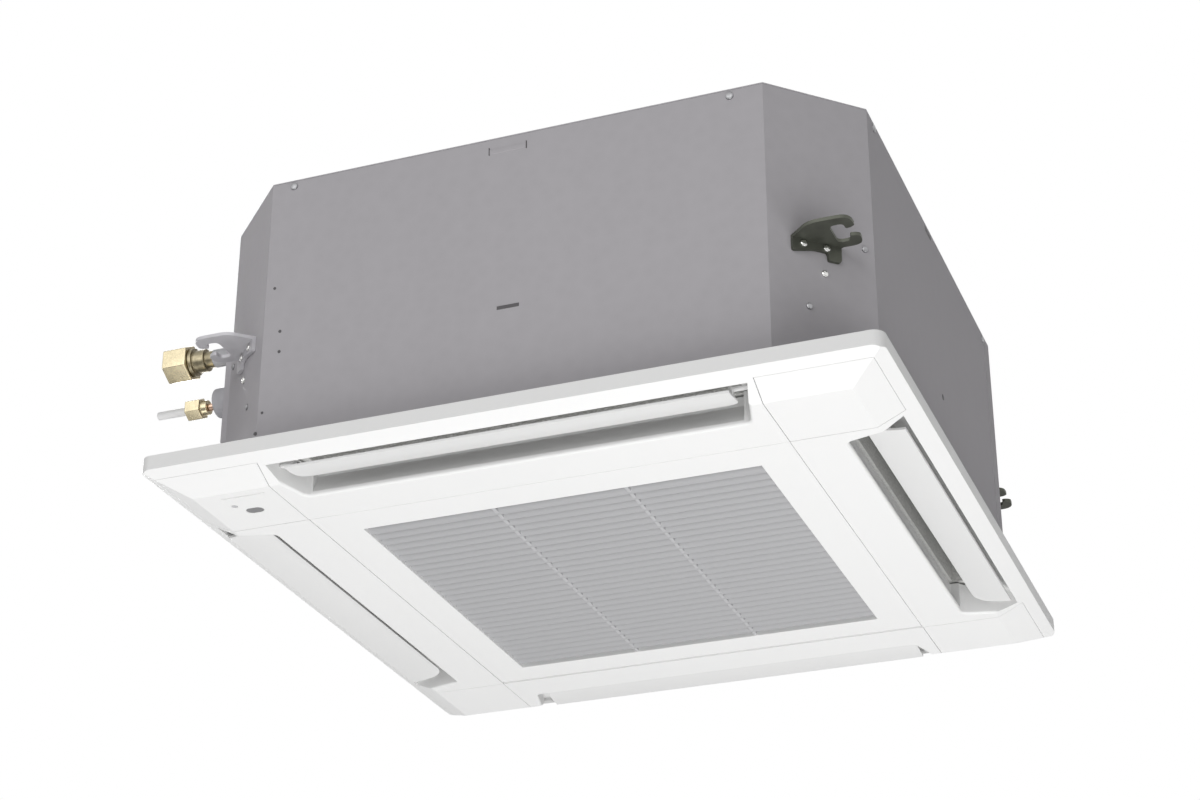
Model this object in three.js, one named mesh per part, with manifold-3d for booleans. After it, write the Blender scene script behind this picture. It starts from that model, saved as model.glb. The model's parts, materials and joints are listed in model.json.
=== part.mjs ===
// A compact four-way ceiling cassette air conditioner, in millimetres.
// +Z is up, +X runs along the panel's front edge and +Y towards its back.
// The origin is the middle of the panel on the ceiling's underside: the casing
// stands above it, hung on four threaded rods, and the panel hangs below it.

import * as THREE from 'three';
import { mergeVertices } from 'three/addons/utils/BufferGeometryUtils.js';
import Module from 'manifold-3d';

const wasm = await Module();
wasm.setup();

// ---------------------------------------------------------------- sizes
const fit = 0.3;               // clearance between pieces that seat on each other
const seam = 0.6;              // visible gap between moulded covers

const panelSize = 620;         // outer side of the square panel
const panelOverhang = 25;      // its rim beyond the casing, on each side
const panelDepth = 28.5;       // from the ceiling down to the panel's flat face
const panelCorner = 10;        // radius of the rim's corners
const rimHeight = 12.5;        // upright rim round the panel
const rimBevelWidth = 10;      // narrow outer bevel under the rim
const rimBevelDrop = 5;
const bevelWidth = 23;         // wide bevel down to the flat face
const skin = 2.5;              // moulded wall of the panel
const deck = 2.5;              // panel's top plate, flush with the ceiling
const intakeMargin = 6.5;      // deck's air intake beyond the grille's window
const ductWall = 2;            // wall of the air ducts and of the grille's bay

const faceBand = 41.3;         // flat face between an outlet slot and the grille
const grilleBorder = 33.2;     // plain border of the hinged intake grille
const grilleHeight = 12.5;     // its rim, up from the flat face
const slatPitch = 12;
const slatWidth = 9;
const slatThickness = 1.8;
const slatTilt = -40;          // degrees from level, back edge down
const ribWidth = 4.5;
const liningHeight = 5.4;      // frame behind the slats, which the filter lies on
const ribOffset = 58;          // the two ribs, each side of the middle
const hingeSetback = 4;        // hinge axis from the grille's back and lower faces
const hingePinRadius = 1.5;
const hingePinLength = 5;

const outletSetback = 13.5;    // outlet slot's outer edge inside the panel's edge
const outletWidth = 48.5;      // from its outer to its inner edge
const outletEndInset = 121.5;  // ends of its inner edge from the panel's edge
const outletSplay = 13;        // how much further its outer edge runs at each end
const outletCorner = 5;
const outletLip = 4;           // its inner wall, up from the flat face
const ductStep = 8;            // duct's inner wall behind the slot's inner edge
const ductInset = 9;           // its outer wall inside the casing's side
const ductRelief = 2;          // and behind the slot's lip
const ductShoulderDrop = 12.5;

const flapWidth = 32.7;
const flapShift = 0.35;        // its middle outside its axis
const flapEndGap = 2.5;        // from the flap to each end of the slot
const flapThickness = 2;
const flapCorner = 13;         // rounding of its two inner corners
const flapBow = 1.2;           // how far its section bows
const flapRest = 10.3;         // outer edge below level at rest, in degrees
const pivotInset = 18;         // flap axis inside the slot's outer edge
const pivotDrop = 13;          // and below the ceiling
const pivotPinRadius = 2;
const bladeDrop = 6.2;         // blade below its axis

const bodyHeight = 253;        // top of the casing above the ceiling
const bodyChamfer = 67;        // corners cut off its square plan
const sheet = 1.2;             // steel sheet
const casingSeat = 0.5;        // casing's foot above the panel's deck
const linerWall = 10;          // foam lining of the sides
const linerTop = 8;
const panTop = 56;             // top of the drain pan above the ceiling

const rodInset = [14.5, 20];   // hanging rods inside the casing's sides, in X and Y
const rodSlot = { reach: 5.75, half: 13.3, mouth: 6 }; // pocket for an M10 rod and its way in
const hangerHeight = 113;      // underside of the hangers above the ceiling
const hangerPlate = 3;

const coilInset = 57;          // heat exchanger inside the casing's sides
const coilDepth = 34;
const coilCorner = 52;
const coilRoofGap = 16.2;      // its top below the foam lining's roof
const coilOpening = 63;        // its open corner, from the outer faces

const fanGap = 36;             // from the fan to the heat exchanger
const fanDrop = 46;            // fan's top plate below the casing's top
const fanBottom = 92;
const shroudWidth = 44;        // fan's shroud from its rim to its mouth
const fanBlades = 7;
const motorRadius = 60;
const motorDrop = 17;          // motor's flange below the casing's top
const motorHeight = 64;
const domeGap = 12;            // fan's dished hub below the motor
const hubDepth = 8;
const shaftRadius = 6;

const throatGap = 6;           // bell mouth inside the shroud's mouth
const throatTop = 95;
const bellPlate = 37;          // underside of its square plate

const pipeInset = 25;          // the two refrigerant pipes inside the coil's front
const liquidHeight = 96;
const liquidRadius = 3.18;     // 1/4 inch copper
const pipePitch = 47;          // gas pipe above the liquid pipe
const gasRadius = 7.94;        // 5/8 inch copper
const pipeReach = 24.7;         // gas pipe's end beyond the casing's side
const sleeveRadius = 13;

const drainY = 150;            // drain port on the same side
const drainHeight = 200;
const drainRadius = 13;

const buttonTravel = 1.2;
const catchTravel = 3;

// ---------------------------------------------------------------- derived
const panelHalf = panelSize / 2;
const coverHalf = panelHalf - rimBevelWidth;
const flatHalf = coverHalf - bevelWidth;
const bevelTop = rimHeight + rimBevelDrop;
const bodyHalf = panelHalf - panelOverhang;

const outletOuter = panelHalf - outletSetback;
const outletInner = outletOuter - outletWidth;
const outletInnerHalf = panelHalf - outletEndInset;
const outletOuterHalf = outletInnerHalf + outletSplay;
const ductInner = outletInner - ductStep;
const ductOuter = bodyHalf - ductInset;
const ductShoulder = outletOuter + ductRelief;
const flapHalfLength = outletInnerHalf - flapEndGap;
const pivotOut = outletOuter - pivotInset;

const grilleHalf = outletInner - faceBand;
const bayHalf = grilleHalf + seam;
const windowHalf = grilleHalf - grilleBorder;
const intakeHalf = windowHalf + intakeMargin;
const hingeY = grilleHalf - hingeSetback;
const hingeZ = -panelDepth + hingeSetback;

const lugTop = casingSeat + sheet;
const panBottom = lugTop + fit;
const coilOuterHalf = bodyHalf - coilInset;
const coilInnerHalf = coilOuterHalf - coilDepth;
const fanRadius = coilInnerHalf - fanGap;
const fanInlet = fanRadius - shroudWidth;
const throatRadius = fanInlet - throatGap;
const pipeY = -coilOuterHalf + pipeInset;
const gasHeight = liquidHeight + pipePitch;
const fanTop = bodyHeight - fanDrop;
const motorTop = bodyHeight - motorDrop;
const motorBottom = motorTop - motorHeight;
const corners = [[1, -1, 'front_right'], [1, 1, 'back_right'], [-1, 1, 'back_left'], [-1, -1, 'front_left']];
const sides = ['front', 'right', 'back', 'left'];

// ---------------------------------------------------------------- solids
function solid(geometry) {
  const bare = new THREE.BufferGeometry();
  bare.setAttribute('position', geometry.getAttribute('position').clone());
  if (geometry.index) bare.setIndex(geometry.index.clone());
  const merged = mergeVertices(bare, 1e-4);
  const place = merged.getAttribute('position');
  const faces = [];
  let volume = 0;
  const [a, b, c] = [new THREE.Vector3(), new THREE.Vector3(), new THREE.Vector3()];
  for (let i = 0; i < merged.index.count; i += 3) {
    const face = [merged.index.getX(i), merged.index.getX(i + 1), merged.index.getX(i + 2)];
    if (new Set(face).size < 3) continue;
    [a, b, c].forEach((corner, k) => corner.fromBufferAttribute(place, face[k]));
    volume += a.dot(b.cross(c));
    faces.push(face);
  }
  if (volume < 0) faces.forEach((face) => face.reverse());
  return new wasm.Manifold(new wasm.Mesh({
    numProp: 3,
    vertProperties: new Float32Array(place.array),
    triVerts: new Uint32Array(faces.flat()),
  }));
}

function geometryOf(body) {
  const mesh = body.getMesh();
  const geometry = new THREE.BufferGeometry();
  geometry.setAttribute('position', new THREE.BufferAttribute(new Float32Array(mesh.vertProperties), 3));
  geometry.setIndex(new THREE.BufferAttribute(new Uint32Array(mesh.triVerts), 1));
  geometry.computeVertexNormals();
  return geometry;
}

const join = (...bodies) => bodies.reduce((whole, next) => whole.add(next));
const cut = (body, ...tools) => tools.reduce((rest, tool) => rest.subtract(tool), body);
const meet = (body, other) => body.intersect(other);

function moved(body, matrix) {
  return solid(geometryOf(body).applyMatrix4(matrix));
}

function quarter(body, count) {
  return count === 0 ? body : moved(body, new THREE.Matrix4().makeRotationZ(count * Math.PI / 2));
}

// Sets the two end faces of a unit-long form exactly at "from" and "to".
function stretched(geometry, axis, from, to) {
  const place = geometry.getAttribute('position');
  for (let i = 0; i < place.count; i += 1) {
    place.setComponent(i, axis, place.getComponent(i, axis) < 0 ? from : to);
  }
  return geometry;
}

function block(x0, x1, y0, y1, z0, z1) {
  const box = new THREE.BoxGeometry(1, 1, 1);
  [[x0, x1], [y0, y1], [z0, z1]].forEach(([from, to], axis) => stretched(box, axis, from, to));
  return solid(box);
}

function prism(shape, z0, z1, curveSegments = 6) {
  const options = { depth: z1 - z0, bevelEnabled: false, curveSegments };
  return solid(new THREE.ExtrudeGeometry(shape, options).translate(0, 0, z0));
}

// A section drawn in (out, up), run along X; "out" points to the front, -Y.
function run(points, x0, x1) {
  const outline = new THREE.Shape(points.map(([out, up]) => new THREE.Vector2(-out, up)));
  const bar = new THREE.ExtrudeGeometry(outline, { depth: x1 - x0, bevelEnabled: false });
  const frame = new THREE.Matrix4().set(0, 0, 1, x0, 1, 0, 0, 0, 0, 1, 0, 0, 0, 0, 0, 1);
  return solid(bar.applyMatrix4(frame));
}

// A profile of (radius, height) turned about the vertical axis.
function turned(profile, segments = 40, start = 0) {
  const points = profile.map(([radius, height]) => new THREE.Vector2(radius, height));
  return solid(new THREE.LatheGeometry(points, segments, start).rotateX(Math.PI / 2));
}

function rod(axis, radius, from, to, a, b, segments = 24) {
  const bar = new THREE.CylinderGeometry(radius, radius, 1, segments);
  if (axis === 'x') return solid(stretched(bar.rotateZ(Math.PI / 2).translate(0, a, b), 0, from, to));
  if (axis === 'y') return solid(stretched(bar.translate(a, 0, b), 1, from, to));
  return solid(stretched(bar.rotateX(Math.PI / 2).translate(a, b, 0), 2, from, to));
}

function squareOutline(half, radius) {
  const shape = new THREE.Shape();
  const inner = half - radius;
  shape.moveTo(-inner, -half);
  shape.absarc(inner, -inner, radius, -Math.PI / 2, 0);
  shape.absarc(inner, inner, radius, 0, Math.PI / 2);
  shape.absarc(-inner, inner, radius, Math.PI / 2, Math.PI);
  shape.absarc(-inner, -inner, radius, Math.PI, Math.PI * 1.5);
  return shape;
}

function polygon(points) {
  return new THREE.Shape(points.map(([x, y]) => new THREE.Vector2(x, y)));
}

// An outline with rounded corners, each corner given as [x, y, radius].
function roundedOutline(points) {
  const shape = new THREE.Shape();
  const count = points.length;
  points.forEach(([x, y, radius], i) => {
    const toward = ([otherX, otherY]) => {
      const share = radius / Math.hypot(otherX - x, otherY - y);
      return [x + (otherX - x) * share, y + (otherY - y) * share];
    };
    const start = toward(points[(i + count - 1) % count]);
    if (i === 0) shape.moveTo(...start);
    else shape.lineTo(...start);
    if (radius > 0) shape.quadraticCurveTo(x, y, ...toward(points[(i + 1) % count]));
  });
  return shape;
}

// The casing's plan: a square with cut corners, drawn "inset" inside the sheet.
function casingPlan(inset) {
  const half = bodyHalf - inset;
  const leg = bodyChamfer - inset * (2 - Math.SQRT2);
  const straight = half - leg;
  return polygon([
    [straight, -half], [half, -straight], [half, straight], [straight, half],
    [-straight, half], [-half, straight], [-half, -straight], [-straight, -half],
  ]);
}

function octagon(inset, z0, z1) {
  return prism(casingPlan(inset), z0, z1);
}

function hexagon(acrossFlats, from, to, y, z) {
  return rod('x', acrossFlats / Math.sqrt(3), from, to, y, z, 6);
}

// ---------------------------------------------------------------- materials
const paint = (color, roughness, metalness = 0) => new THREE.MeshStandardMaterial({ color, roughness, metalness });
const steel = paint(0x9f9ea0, 0.5, 0.6);
const hangerSteel = paint(0x55554c, 0.55, 0.6);
const foam = paint(0xd9d9d4, 0.95);
const darkFoam = paint(0x6a6a6c, 0.95);
const whitePlastic = paint(0xf2f2f1, 0.45);
const greyPlastic = paint(0xb9b9bb, 0.5);
const blackPlastic = paint(0x232325, 0.5);
const copper = paint(0xb87a50, 0.35, 0.9);
const brass = paint(0xc2a25a, 0.35, 0.9);
const aluminium = paint(0xb9bcc0, 0.4, 0.9);
const motorGrey = paint(0x4a4b4e, 0.5, 0.4);
const boardGreen = paint(0x2f6b44, 0.6);

const unit = new THREE.Group();

function part(name, body, material, parent = unit) {
  const mesh = new THREE.Mesh(geometryOf(body), material);
  mesh.name = name;
  parent.add(mesh);
  return mesh;
}

// ---------------------------------------------------------------- panel
// The panel's outer form, or the same form shrunk by a wall all round.
function panelForm(wall, top) {
  const slope = bevelWidth / (panelDepth - bevelTop);
  const profile = [
    [0, -top], [panelHalf - wall, -top], [panelHalf - wall, -rimHeight + wall / 2],
    [coverHalf - wall, -bevelTop + wall / 2],
    [flatHalf - wall + wall * slope * 0.5, -panelDepth + wall], [0, -panelDepth + wall],
  ];
  const pyramid = turned(profile.map(([half, z]) => [half * Math.SQRT2, z]), 4, Math.PI / 4);
  return meet(pyramid, prism(squareOutline(panelHalf - wall, panelCorner - wall), -panelDepth, 0));
}

function outletPlan(grow) {
  const shape = new THREE.Shape();
  const lean = (outletOuterHalf - outletInnerHalf) / (outletOuter - outletInner);
  const halfAt = (out) => outletInnerHalf + grow + lean * (out - outletInner);
  const near = ductInner - grow - ductWall;
  const round = outletCorner + grow;
  const legHalf = outletInnerHalf - outletCorner + grow;
  const far = panelHalf;
  const roundFrom = outletInner - grow;
  shape.moveTo(-halfAt(far), -far);
  shape.lineTo(halfAt(far), -far);
  shape.lineTo(halfAt(roundFrom + round), -roundFrom - round);
  shape.quadraticCurveTo(halfAt(roundFrom), -roundFrom, legHalf, -roundFrom);
  shape.lineTo(legHalf, -near);
  shape.lineTo(-legHalf, -near);
  shape.lineTo(-legHalf, -roundFrom);
  shape.quadraticCurveTo(-halfAt(roundFrom), -roundFrom, -halfAt(roundFrom + round), -roundFrom - round);
  return shape;
}

const ductSection = [
  [ductInner, fit], [ductOuter, fit], [ductShoulder, -ductShoulderDrop], [ductShoulder, -ductShoulderDrop - 3],
  [outletOuter, -ductShoulderDrop - 3.4], [outletOuter, -panelDepth - fit], [outletInner, -panelDepth - fit],
  [outletInner, -panelDepth + outletLip], [ductInner, -8],
];
const ductSleeve = [
  [ductInner - ductWall, 0], [ductOuter + ductWall, 0], [ductShoulder + ductWall, -ductShoulderDrop + 1],
  [ductShoulder + ductWall, -panelDepth], [outletInner - ductWall, -panelDepth],
  [outletInner - ductWall, -panelDepth + outletLip - 1], [ductInner - ductWall, -9],
];

const outerForm = panelForm(0, 0);
const innerForm = panelForm(skin, deck);

function outletVoid() {
  return meet(run(ductSection, -panelHalf, panelHalf), prism(outletPlan(0), -panelDepth - 1, 1));
}

function outletSleeve() {
  return meet(run(ductSleeve, -panelHalf, panelHalf), prism(outletPlan(ductWall), -panelDepth, 0));
}

const catchX = 120;
const catchY = -grilleHalf + 8.7;
const catchGuide = { half: 8, depth: 6, bottom: -13 };
const catchPlunger = { half: 4, depth: 2.2, bottom: -15.7 };
const screwOut = bodyHalf - 42;
const screwRadius = 2;

function pinHole(x0, x1) {
  return rod('x', hingePinRadius + 0.4, x0, x1, hingeY, hingeZ, 16);
}

function panelFrame() {
  let frame = cut(outerForm, innerForm);
  const bayWall = bayHalf + ductWall;
  frame = join(frame, meet(outerForm, cut(
    block(-bayWall, bayWall, -bayWall, bayWall, -panelDepth, 0),
    block(-bayHalf, bayHalf, -bayHalf, bayHalf, -panelDepth - 1, 1),
  )));
  for (let k = 0; k < 4; k += 1) frame = join(frame, quarter(meet(outerForm, outletSleeve()), k));
  for (let k = 0; k < 4; k += 1) frame = cut(frame, quarter(outletVoid(), k));
  frame = cut(frame, block(-bayHalf, bayHalf, -bayHalf, bayHalf, -panelDepth - 1, -deck));
  frame = cut(frame, block(-intakeHalf, intakeHalf, -intakeHalf, intakeHalf, -deck - 1, 1));
  for (const [sx, sy] of corners) {
    const [near, far] = [bayHalf - fit, coverHalf];
    const pocket = block(near, far, near, far, -panelDepth - 1, -deck);
    frame = cut(frame, moved(pocket, new THREE.Matrix4().makeScale(sx, sy, 1)));
    frame = cut(frame, rod('z', screwRadius + 0.4, -deck - 1, 1, sx * screwOut, sy * screwOut, 12));
  }
  for (let k = 0; k < 4; k += 1) {
    const bore = rod('x', pivotPinRadius + 0.4, -bayHalf, bayHalf, -pivotOut, -pivotDrop, 16);
    frame = cut(frame, quarter(bore, k));
  }
  for (const side of [-1, 1]) {
    const x = side * catchX;
    const guide = block(x - catchGuide.half, x + catchGuide.half, catchY - catchGuide.depth,
      catchY + catchGuide.depth, catchGuide.bottom, -deck);
    const channel = block(x - catchPlunger.half - fit, x + catchPlunger.half + fit,
      catchY - catchPlunger.depth - fit, catchY + catchPlunger.depth + fit, catchGuide.bottom - 1, -deck - 1.5);
    frame = cut(join(frame, guide), channel);
  }
  return cut(frame, pinHole(-bayHalf - ductWall - 1, -bayHalf + 1), pinHole(bayHalf - 1, bayHalf + ductWall + 1));
}

part('panel_frame', panelFrame(), whitePlastic);

// Corner covers: each drops off to reach a hanging rod and the panel's screw.
const coverLip = 4.5;
const coverWall = 2;
const buttonAt = [-coverHalf + 48, -coverHalf + 47.7];
const buttonRadius = 2.4;
const windowAt = [-coverHalf + 60.4, -coverHalf + 60];
const windowSize = [15, 9];

function windowPlan(grow) {
  const shape = new THREE.Shape();
  const radius = windowSize[1] / 2 + grow;
  const straight = (windowSize[0] - windowSize[1]) / 2;
  shape.moveTo(windowAt[0] - straight, windowAt[1] - radius);
  shape.absarc(windowAt[0] + straight, windowAt[1], radius, -Math.PI / 2, Math.PI / 2);
  shape.absarc(windowAt[0] - straight, windowAt[1], radius, Math.PI / 2, Math.PI * 1.5);
  return shape;
}

function cornerCover(sx, sy, name) {
  const near = bayHalf + fit;
  const far = coverHalf - fit;
  const area = block(near, far, near, far, -panelDepth - 1, -deck - fit);
  const lip = cut(block(near, flatHalf, near, flatHalf, -panelDepth, -panelDepth + coverLip),
    block(near + coverWall, flatHalf - coverWall, near + coverWall, flatHalf - coverWall, -panelDepth - 1, 0));
  const posts = [[near + 4, near + 12], [coverHalf - 17, coverHalf - 9]].map(([from, to]) =>
    meet(outerForm, block(from, to, from, to, -panelDepth, -deck - fit)));
  let cover = join(meet(cut(outerForm, innerForm), area), lip, ...posts);
  cover = moved(cover, new THREE.Matrix4().makeScale(sx, sy, 1));
  if (name !== 'front_left') return cover;
  return cut(cover, prism(windowPlan(fit), -panelDepth - 1, -panelDepth + skin + 1),
    rod('z', buttonRadius + fit, -panelDepth - 1, -panelDepth + skin + 1, ...buttonAt));
}

for (const [sx, sy, name] of corners) part(`corner_cover_${name}`, cornerCover(sx, sy, name), whitePlastic);

// Receiver behind the front left cover, with its window and push button.
const coverInside = -panelDepth + skin;
const housing = {
  x0: -coverHalf + 34, x1: -coverHalf + 78, y0: -coverHalf + 38, y1: -coverHalf + 71, top: -12,
};
const buttonTop = -21.6;
const receiver = cut(
  block(housing.x0, housing.x1, housing.y0, housing.y1, coverInside + fit, housing.top),
  rod('z', buttonRadius + fit, coverInside, buttonTop + buttonTravel + fit, ...buttonAt),
);
part('receiver_housing', receiver, blackPlastic);
part('receiver_window', prism(windowPlan(0), -panelDepth, coverInside), blackPlastic);
part('test_button', rod('z', buttonRadius, -panelDepth, buttonTop, ...buttonAt), greyPlastic);

// ---------------------------------------------------------------- flaps
// Drawn about their axis, which runs along X, with the outer edge towards -Y.
function flapBlade() {
  const half = flapWidth / 2;
  const steps = 6;
  const bow = (along) => -bladeDrop - flapBow * (1 - (along / half) ** 2);
  const lower = [];
  const upper = [];
  for (let i = 0; i <= steps; i += 1) {
    const along = -half + (flapWidth * i) / steps;
    lower.push([along + flapShift, bow(along) - flapThickness / 2]);
    upper.unshift([along + flapShift, bow(along) + flapThickness / 2]);
  }
  const blade = run([...lower, ...upper], -flapHalfLength, flapHalfLength);
  const plan = new THREE.Shape();
  const inner = half - flapShift;
  plan.moveTo(-flapHalfLength, -half - flapShift - 1);
  plan.lineTo(flapHalfLength, -half - flapShift - 1);
  plan.lineTo(flapHalfLength, inner - flapCorner);
  plan.quadraticCurveTo(flapHalfLength, inner, flapHalfLength - flapCorner, inner);
  plan.lineTo(-flapHalfLength + flapCorner, inner);
  plan.quadraticCurveTo(-flapHalfLength, inner, -flapHalfLength, inner - flapCorner);
  return meet(blade, prism(plan, -20, 20));
}

const pivotHalf = outletInnerHalf
  + ((outletOuterHalf - outletInnerHalf) * (pivotOut - outletInner)) / (outletOuter - outletInner);
const pinEnd = pivotHalf + ductWall;

function flap() {
  const arms = [-1, 1].map((side) => {
    const x = side * (flapHalfLength - 3);
    const arm = run([[-4, -bladeDrop - flapBow], [4, -bladeDrop - flapBow], [2.6, 1.6], [-2.6, 1.6]], x - 1.5, x + 1.5);
    const from = Math.min(x, side * pinEnd);
    const to = Math.max(x, side * pinEnd);
    return join(arm, rod('x', pivotPinRadius, from, to, 0, 0, 16));
  });
  return join(flapBlade(), ...arms);
}

const motorStart = bayHalf - 2;
const flapMotorRadius = 10;
const flapMotorLength = 16;

function flapMotor() {
  const ear = block(motorStart, motorStart + 2, -pivotOut - 14, -pivotOut + 14, -pivotDrop - 5, -deck - fit);
  return join(
    rod('x', flapMotorRadius, motorStart, motorStart + flapMotorLength, -pivotOut, -pivotDrop),
    rod('x', pivotPinRadius, pinEnd + fit, motorStart + 1, -pivotOut, -pivotDrop, 16),
    ear,
  );
}

sides.forEach((side, k) => {
  const turn = new THREE.Group();
  turn.rotation.z = (k * Math.PI) / 2;
  unit.add(turn);
  const blade = part(`flap_${side}`, flap(), whitePlastic, turn);
  blade.position.set(0, -pivotOut, -pivotDrop);
  blade.rotation.x = (flapRest * Math.PI) / 180;
  part(`flap_motor_${side}`, flapMotor(), greyPlastic, turn);
});

// ---------------------------------------------------------------- grille
function grille() {
  const top = -panelDepth + grilleHeight;
  const wall = skin;
  const edge = grilleHalf;
  const flat = coverInside;
  let body = cut(block(-edge, edge, -edge, edge, -panelDepth, top),
    block(-edge + wall, edge - wall, -edge + wall, edge - wall, flat, top + 1),
    block(-windowHalf, windowHalf, -windowHalf, windowHalf, -panelDepth - 1, 0));
  const corner = cut(block(-edge - 1, edge + 1, hingeY, edge + 1, -panelDepth - 1, hingeZ),
    rod('x', hingeSetback, -edge - 2, edge + 2, hingeY, hingeZ, 48));
  const cheek = block(-edge, edge, hingeY - hingeSetback, hingeY + 1.5, flat - 0.5, hingeZ + 4);
  body = cut(join(body, cheek), corner);
  const frameTop = flat + liningHeight;
  const lining = cut(block(-windowHalf - 2, windowHalf + 2, -windowHalf - 2, windowHalf + 2, flat - 1, frameTop),
    block(-windowHalf, windowHalf, -windowHalf, windowHalf, -panelDepth - 2, 0));
  body = join(body, lining);
  for (const side of [-1, 1]) {
    const x = side * ribOffset;
    body = join(body, block(x - ribWidth / 2, x + ribWidth / 2, -windowHalf - 1, windowHalf + 1,
      -panelDepth + 0.8, frameTop));
  }
  const slats = Math.floor((2 * windowHalf) / slatPitch);
  const first = (-slatPitch * (slats - 1)) / 2;
  for (let i = 0; i < slats; i += 1) {
    const slat = new THREE.BoxGeometry(2 * windowHalf + 1, slatWidth, slatThickness);
    slat.rotateX((slatTilt * Math.PI) / 180);
    slat.translate(0, first + i * slatPitch, -panelDepth + 4);
    body = join(body, solid(slat));
  }
  for (const side of [-1, 1]) {
    const x = side * catchX;
    body = join(body, block(x - 4, x + 4, catchY - 3, catchY + 3, flat - 0.5, catchPlunger.bottom - fit));
    const from = side > 0 ? edge - 8 : -edge - 1;
    body = cut(body, rod('x', hingePinRadius + 0.15, from, from + 9, hingeY, hingeZ, 16));
  }
  return body;
}

part('intake_grille', grille(), greyPlastic);
for (const [side, name] of [[-1, 'left'], [1, 'right']]) {
  const reach = [grilleHalf + seam + ductWall - hingePinLength - 2, grilleHalf + seam + ductWall];
  const [from, to] = side > 0 ? reach : [-reach[1], -reach[0]];
  part(`grille_pin_${name}`, rod('x', hingePinRadius, from, to, hingeY, hingeZ, 16), greyPlastic);
  const x = side * catchX;
  part(`push_catch_${name}`, block(x - catchPlunger.half, x + catchPlunger.half, catchY - catchPlunger.depth,
    catchY + catchPlunger.depth, catchPlunger.bottom, -deck - 1.5 - catchTravel - fit), greyPlastic);
}

// Washable filter: a netted frame lying on the grille's lining.
function filter() {
  const half = windowHalf + 6;
  const border = 6;
  const cells = 6;
  const rib = 3;
  const net = 1.2;
  const z0 = coverInside + liningHeight + fit;
  const pitch = (2 * (half - border) + rib) / cells;
  let body = block(-half, half, -half, half, z0, z0 + 3.4);
  for (let i = 0; i < cells; i += 1) {
    for (let j = 0; j < cells; j += 1) {
      const [x, y] = [i, j].map((n) => -half + border + n * pitch);
      body = cut(body, block(x, x + pitch - rib, y, y + pitch - rib, z0 + net, z0 + 5));
    }
  }
  return body;
}
part('air_filter', filter(), darkFoam);

// ---------------------------------------------------------------- casing
const gasWindow = { y0: pipeY - 14, y1: pipeY + 16, z0: liquidHeight - 16, z1: gasHeight + 11 };
const glandAt = { y: 60, z: 78, radius: 9 };

function throughSide(x0, x1) {
  return [
    block(x0, x1, gasWindow.y0, gasWindow.y1, gasWindow.z0, gasWindow.z1),
    rod('x', drainRadius + fit, x0, x1, drainY, drainHeight),
    rod('x', glandAt.radius + fit, x0, x1, glandAt.y, glandAt.z),
  ];
}

function casingWall() {
  const wallTop = bodyHeight - sheet - fit;
  let wall = cut(octagon(0, casingSeat, wallTop), octagon(sheet, lugTop, wallTop + 1));
  const reach = bodyHalf - bodyChamfer - 14;
  const opening = polygon([
    [reach, -bodyHalf + 8], [bodyHalf - 8, -reach], [bodyHalf - 8, reach], [reach, bodyHalf - 8],
    [-reach, bodyHalf - 8], [-bodyHalf + 8, reach], [-bodyHalf + 8, -reach], [-reach, -bodyHalf + 8],
  ]);
  wall = cut(wall, prism(opening, 0, lugTop + 1));
  for (const [sx, sy] of corners) {
    wall = cut(wall, rod('z', screwRadius + 0.2, 0, lugTop + 1, sx * screwOut, sy * screwOut, 12));
  }
  return cut(wall, ...throughSide(-bodyHalf - 1, -bodyHalf + sheet + 1));
}
part('casing_wall', casingWall(), steel);

const flangeDepth = 12;
const flangeInset = sheet + fit;
const topRib = { width: 14, height: 2 };

function topPlate() {
  const under = bodyHeight - sheet;
  const flange = cut(octagon(flangeInset, under - flangeDepth, under + 0.5),
    octagon(flangeInset + sheet, under - flangeDepth - 1, under + 1));
  let plate = join(octagon(0, under, bodyHeight), flange);
  for (const turn of [1, -1]) {
    const rib = new THREE.BoxGeometry(2 * bodyHalf - bodyChamfer - 47, topRib.width, topRib.height);
    rib.rotateZ((turn * Math.PI) / 4).translate(0, 0, under - topRib.height / 2 + 0.1);
    plate = join(plate, solid(rib));
  }
  return plate;
}
part('top_plate', topPlate(), steel);

const linerInset = flangeInset + sheet + fit;
const linerRoof = bodyHeight - sheet - topRib.height - fit;
const motorHole = 100;

function foamLiner() {
  const bottom = panTop + fit;
  let liner = cut(octagon(linerInset, bottom, linerRoof),
    octagon(linerInset + linerWall, bottom - 1, linerRoof - linerTop));
  liner = cut(liner, rod('z', motorHole, linerRoof - linerTop - 1, linerRoof + 1, 0, 0, 48));
  return cut(liner, ...throughSide(-bodyHalf, -bodyHalf + linerInset + linerWall + 1));
}
part('foam_liner', foamLiner(), foam);

// Hangers: a claw that hooks round a rod, on a flange screwed to the cut corner.
const cutFace = (bodyHalf - bodyChamfer / 2) * Math.SQRT2;

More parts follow.
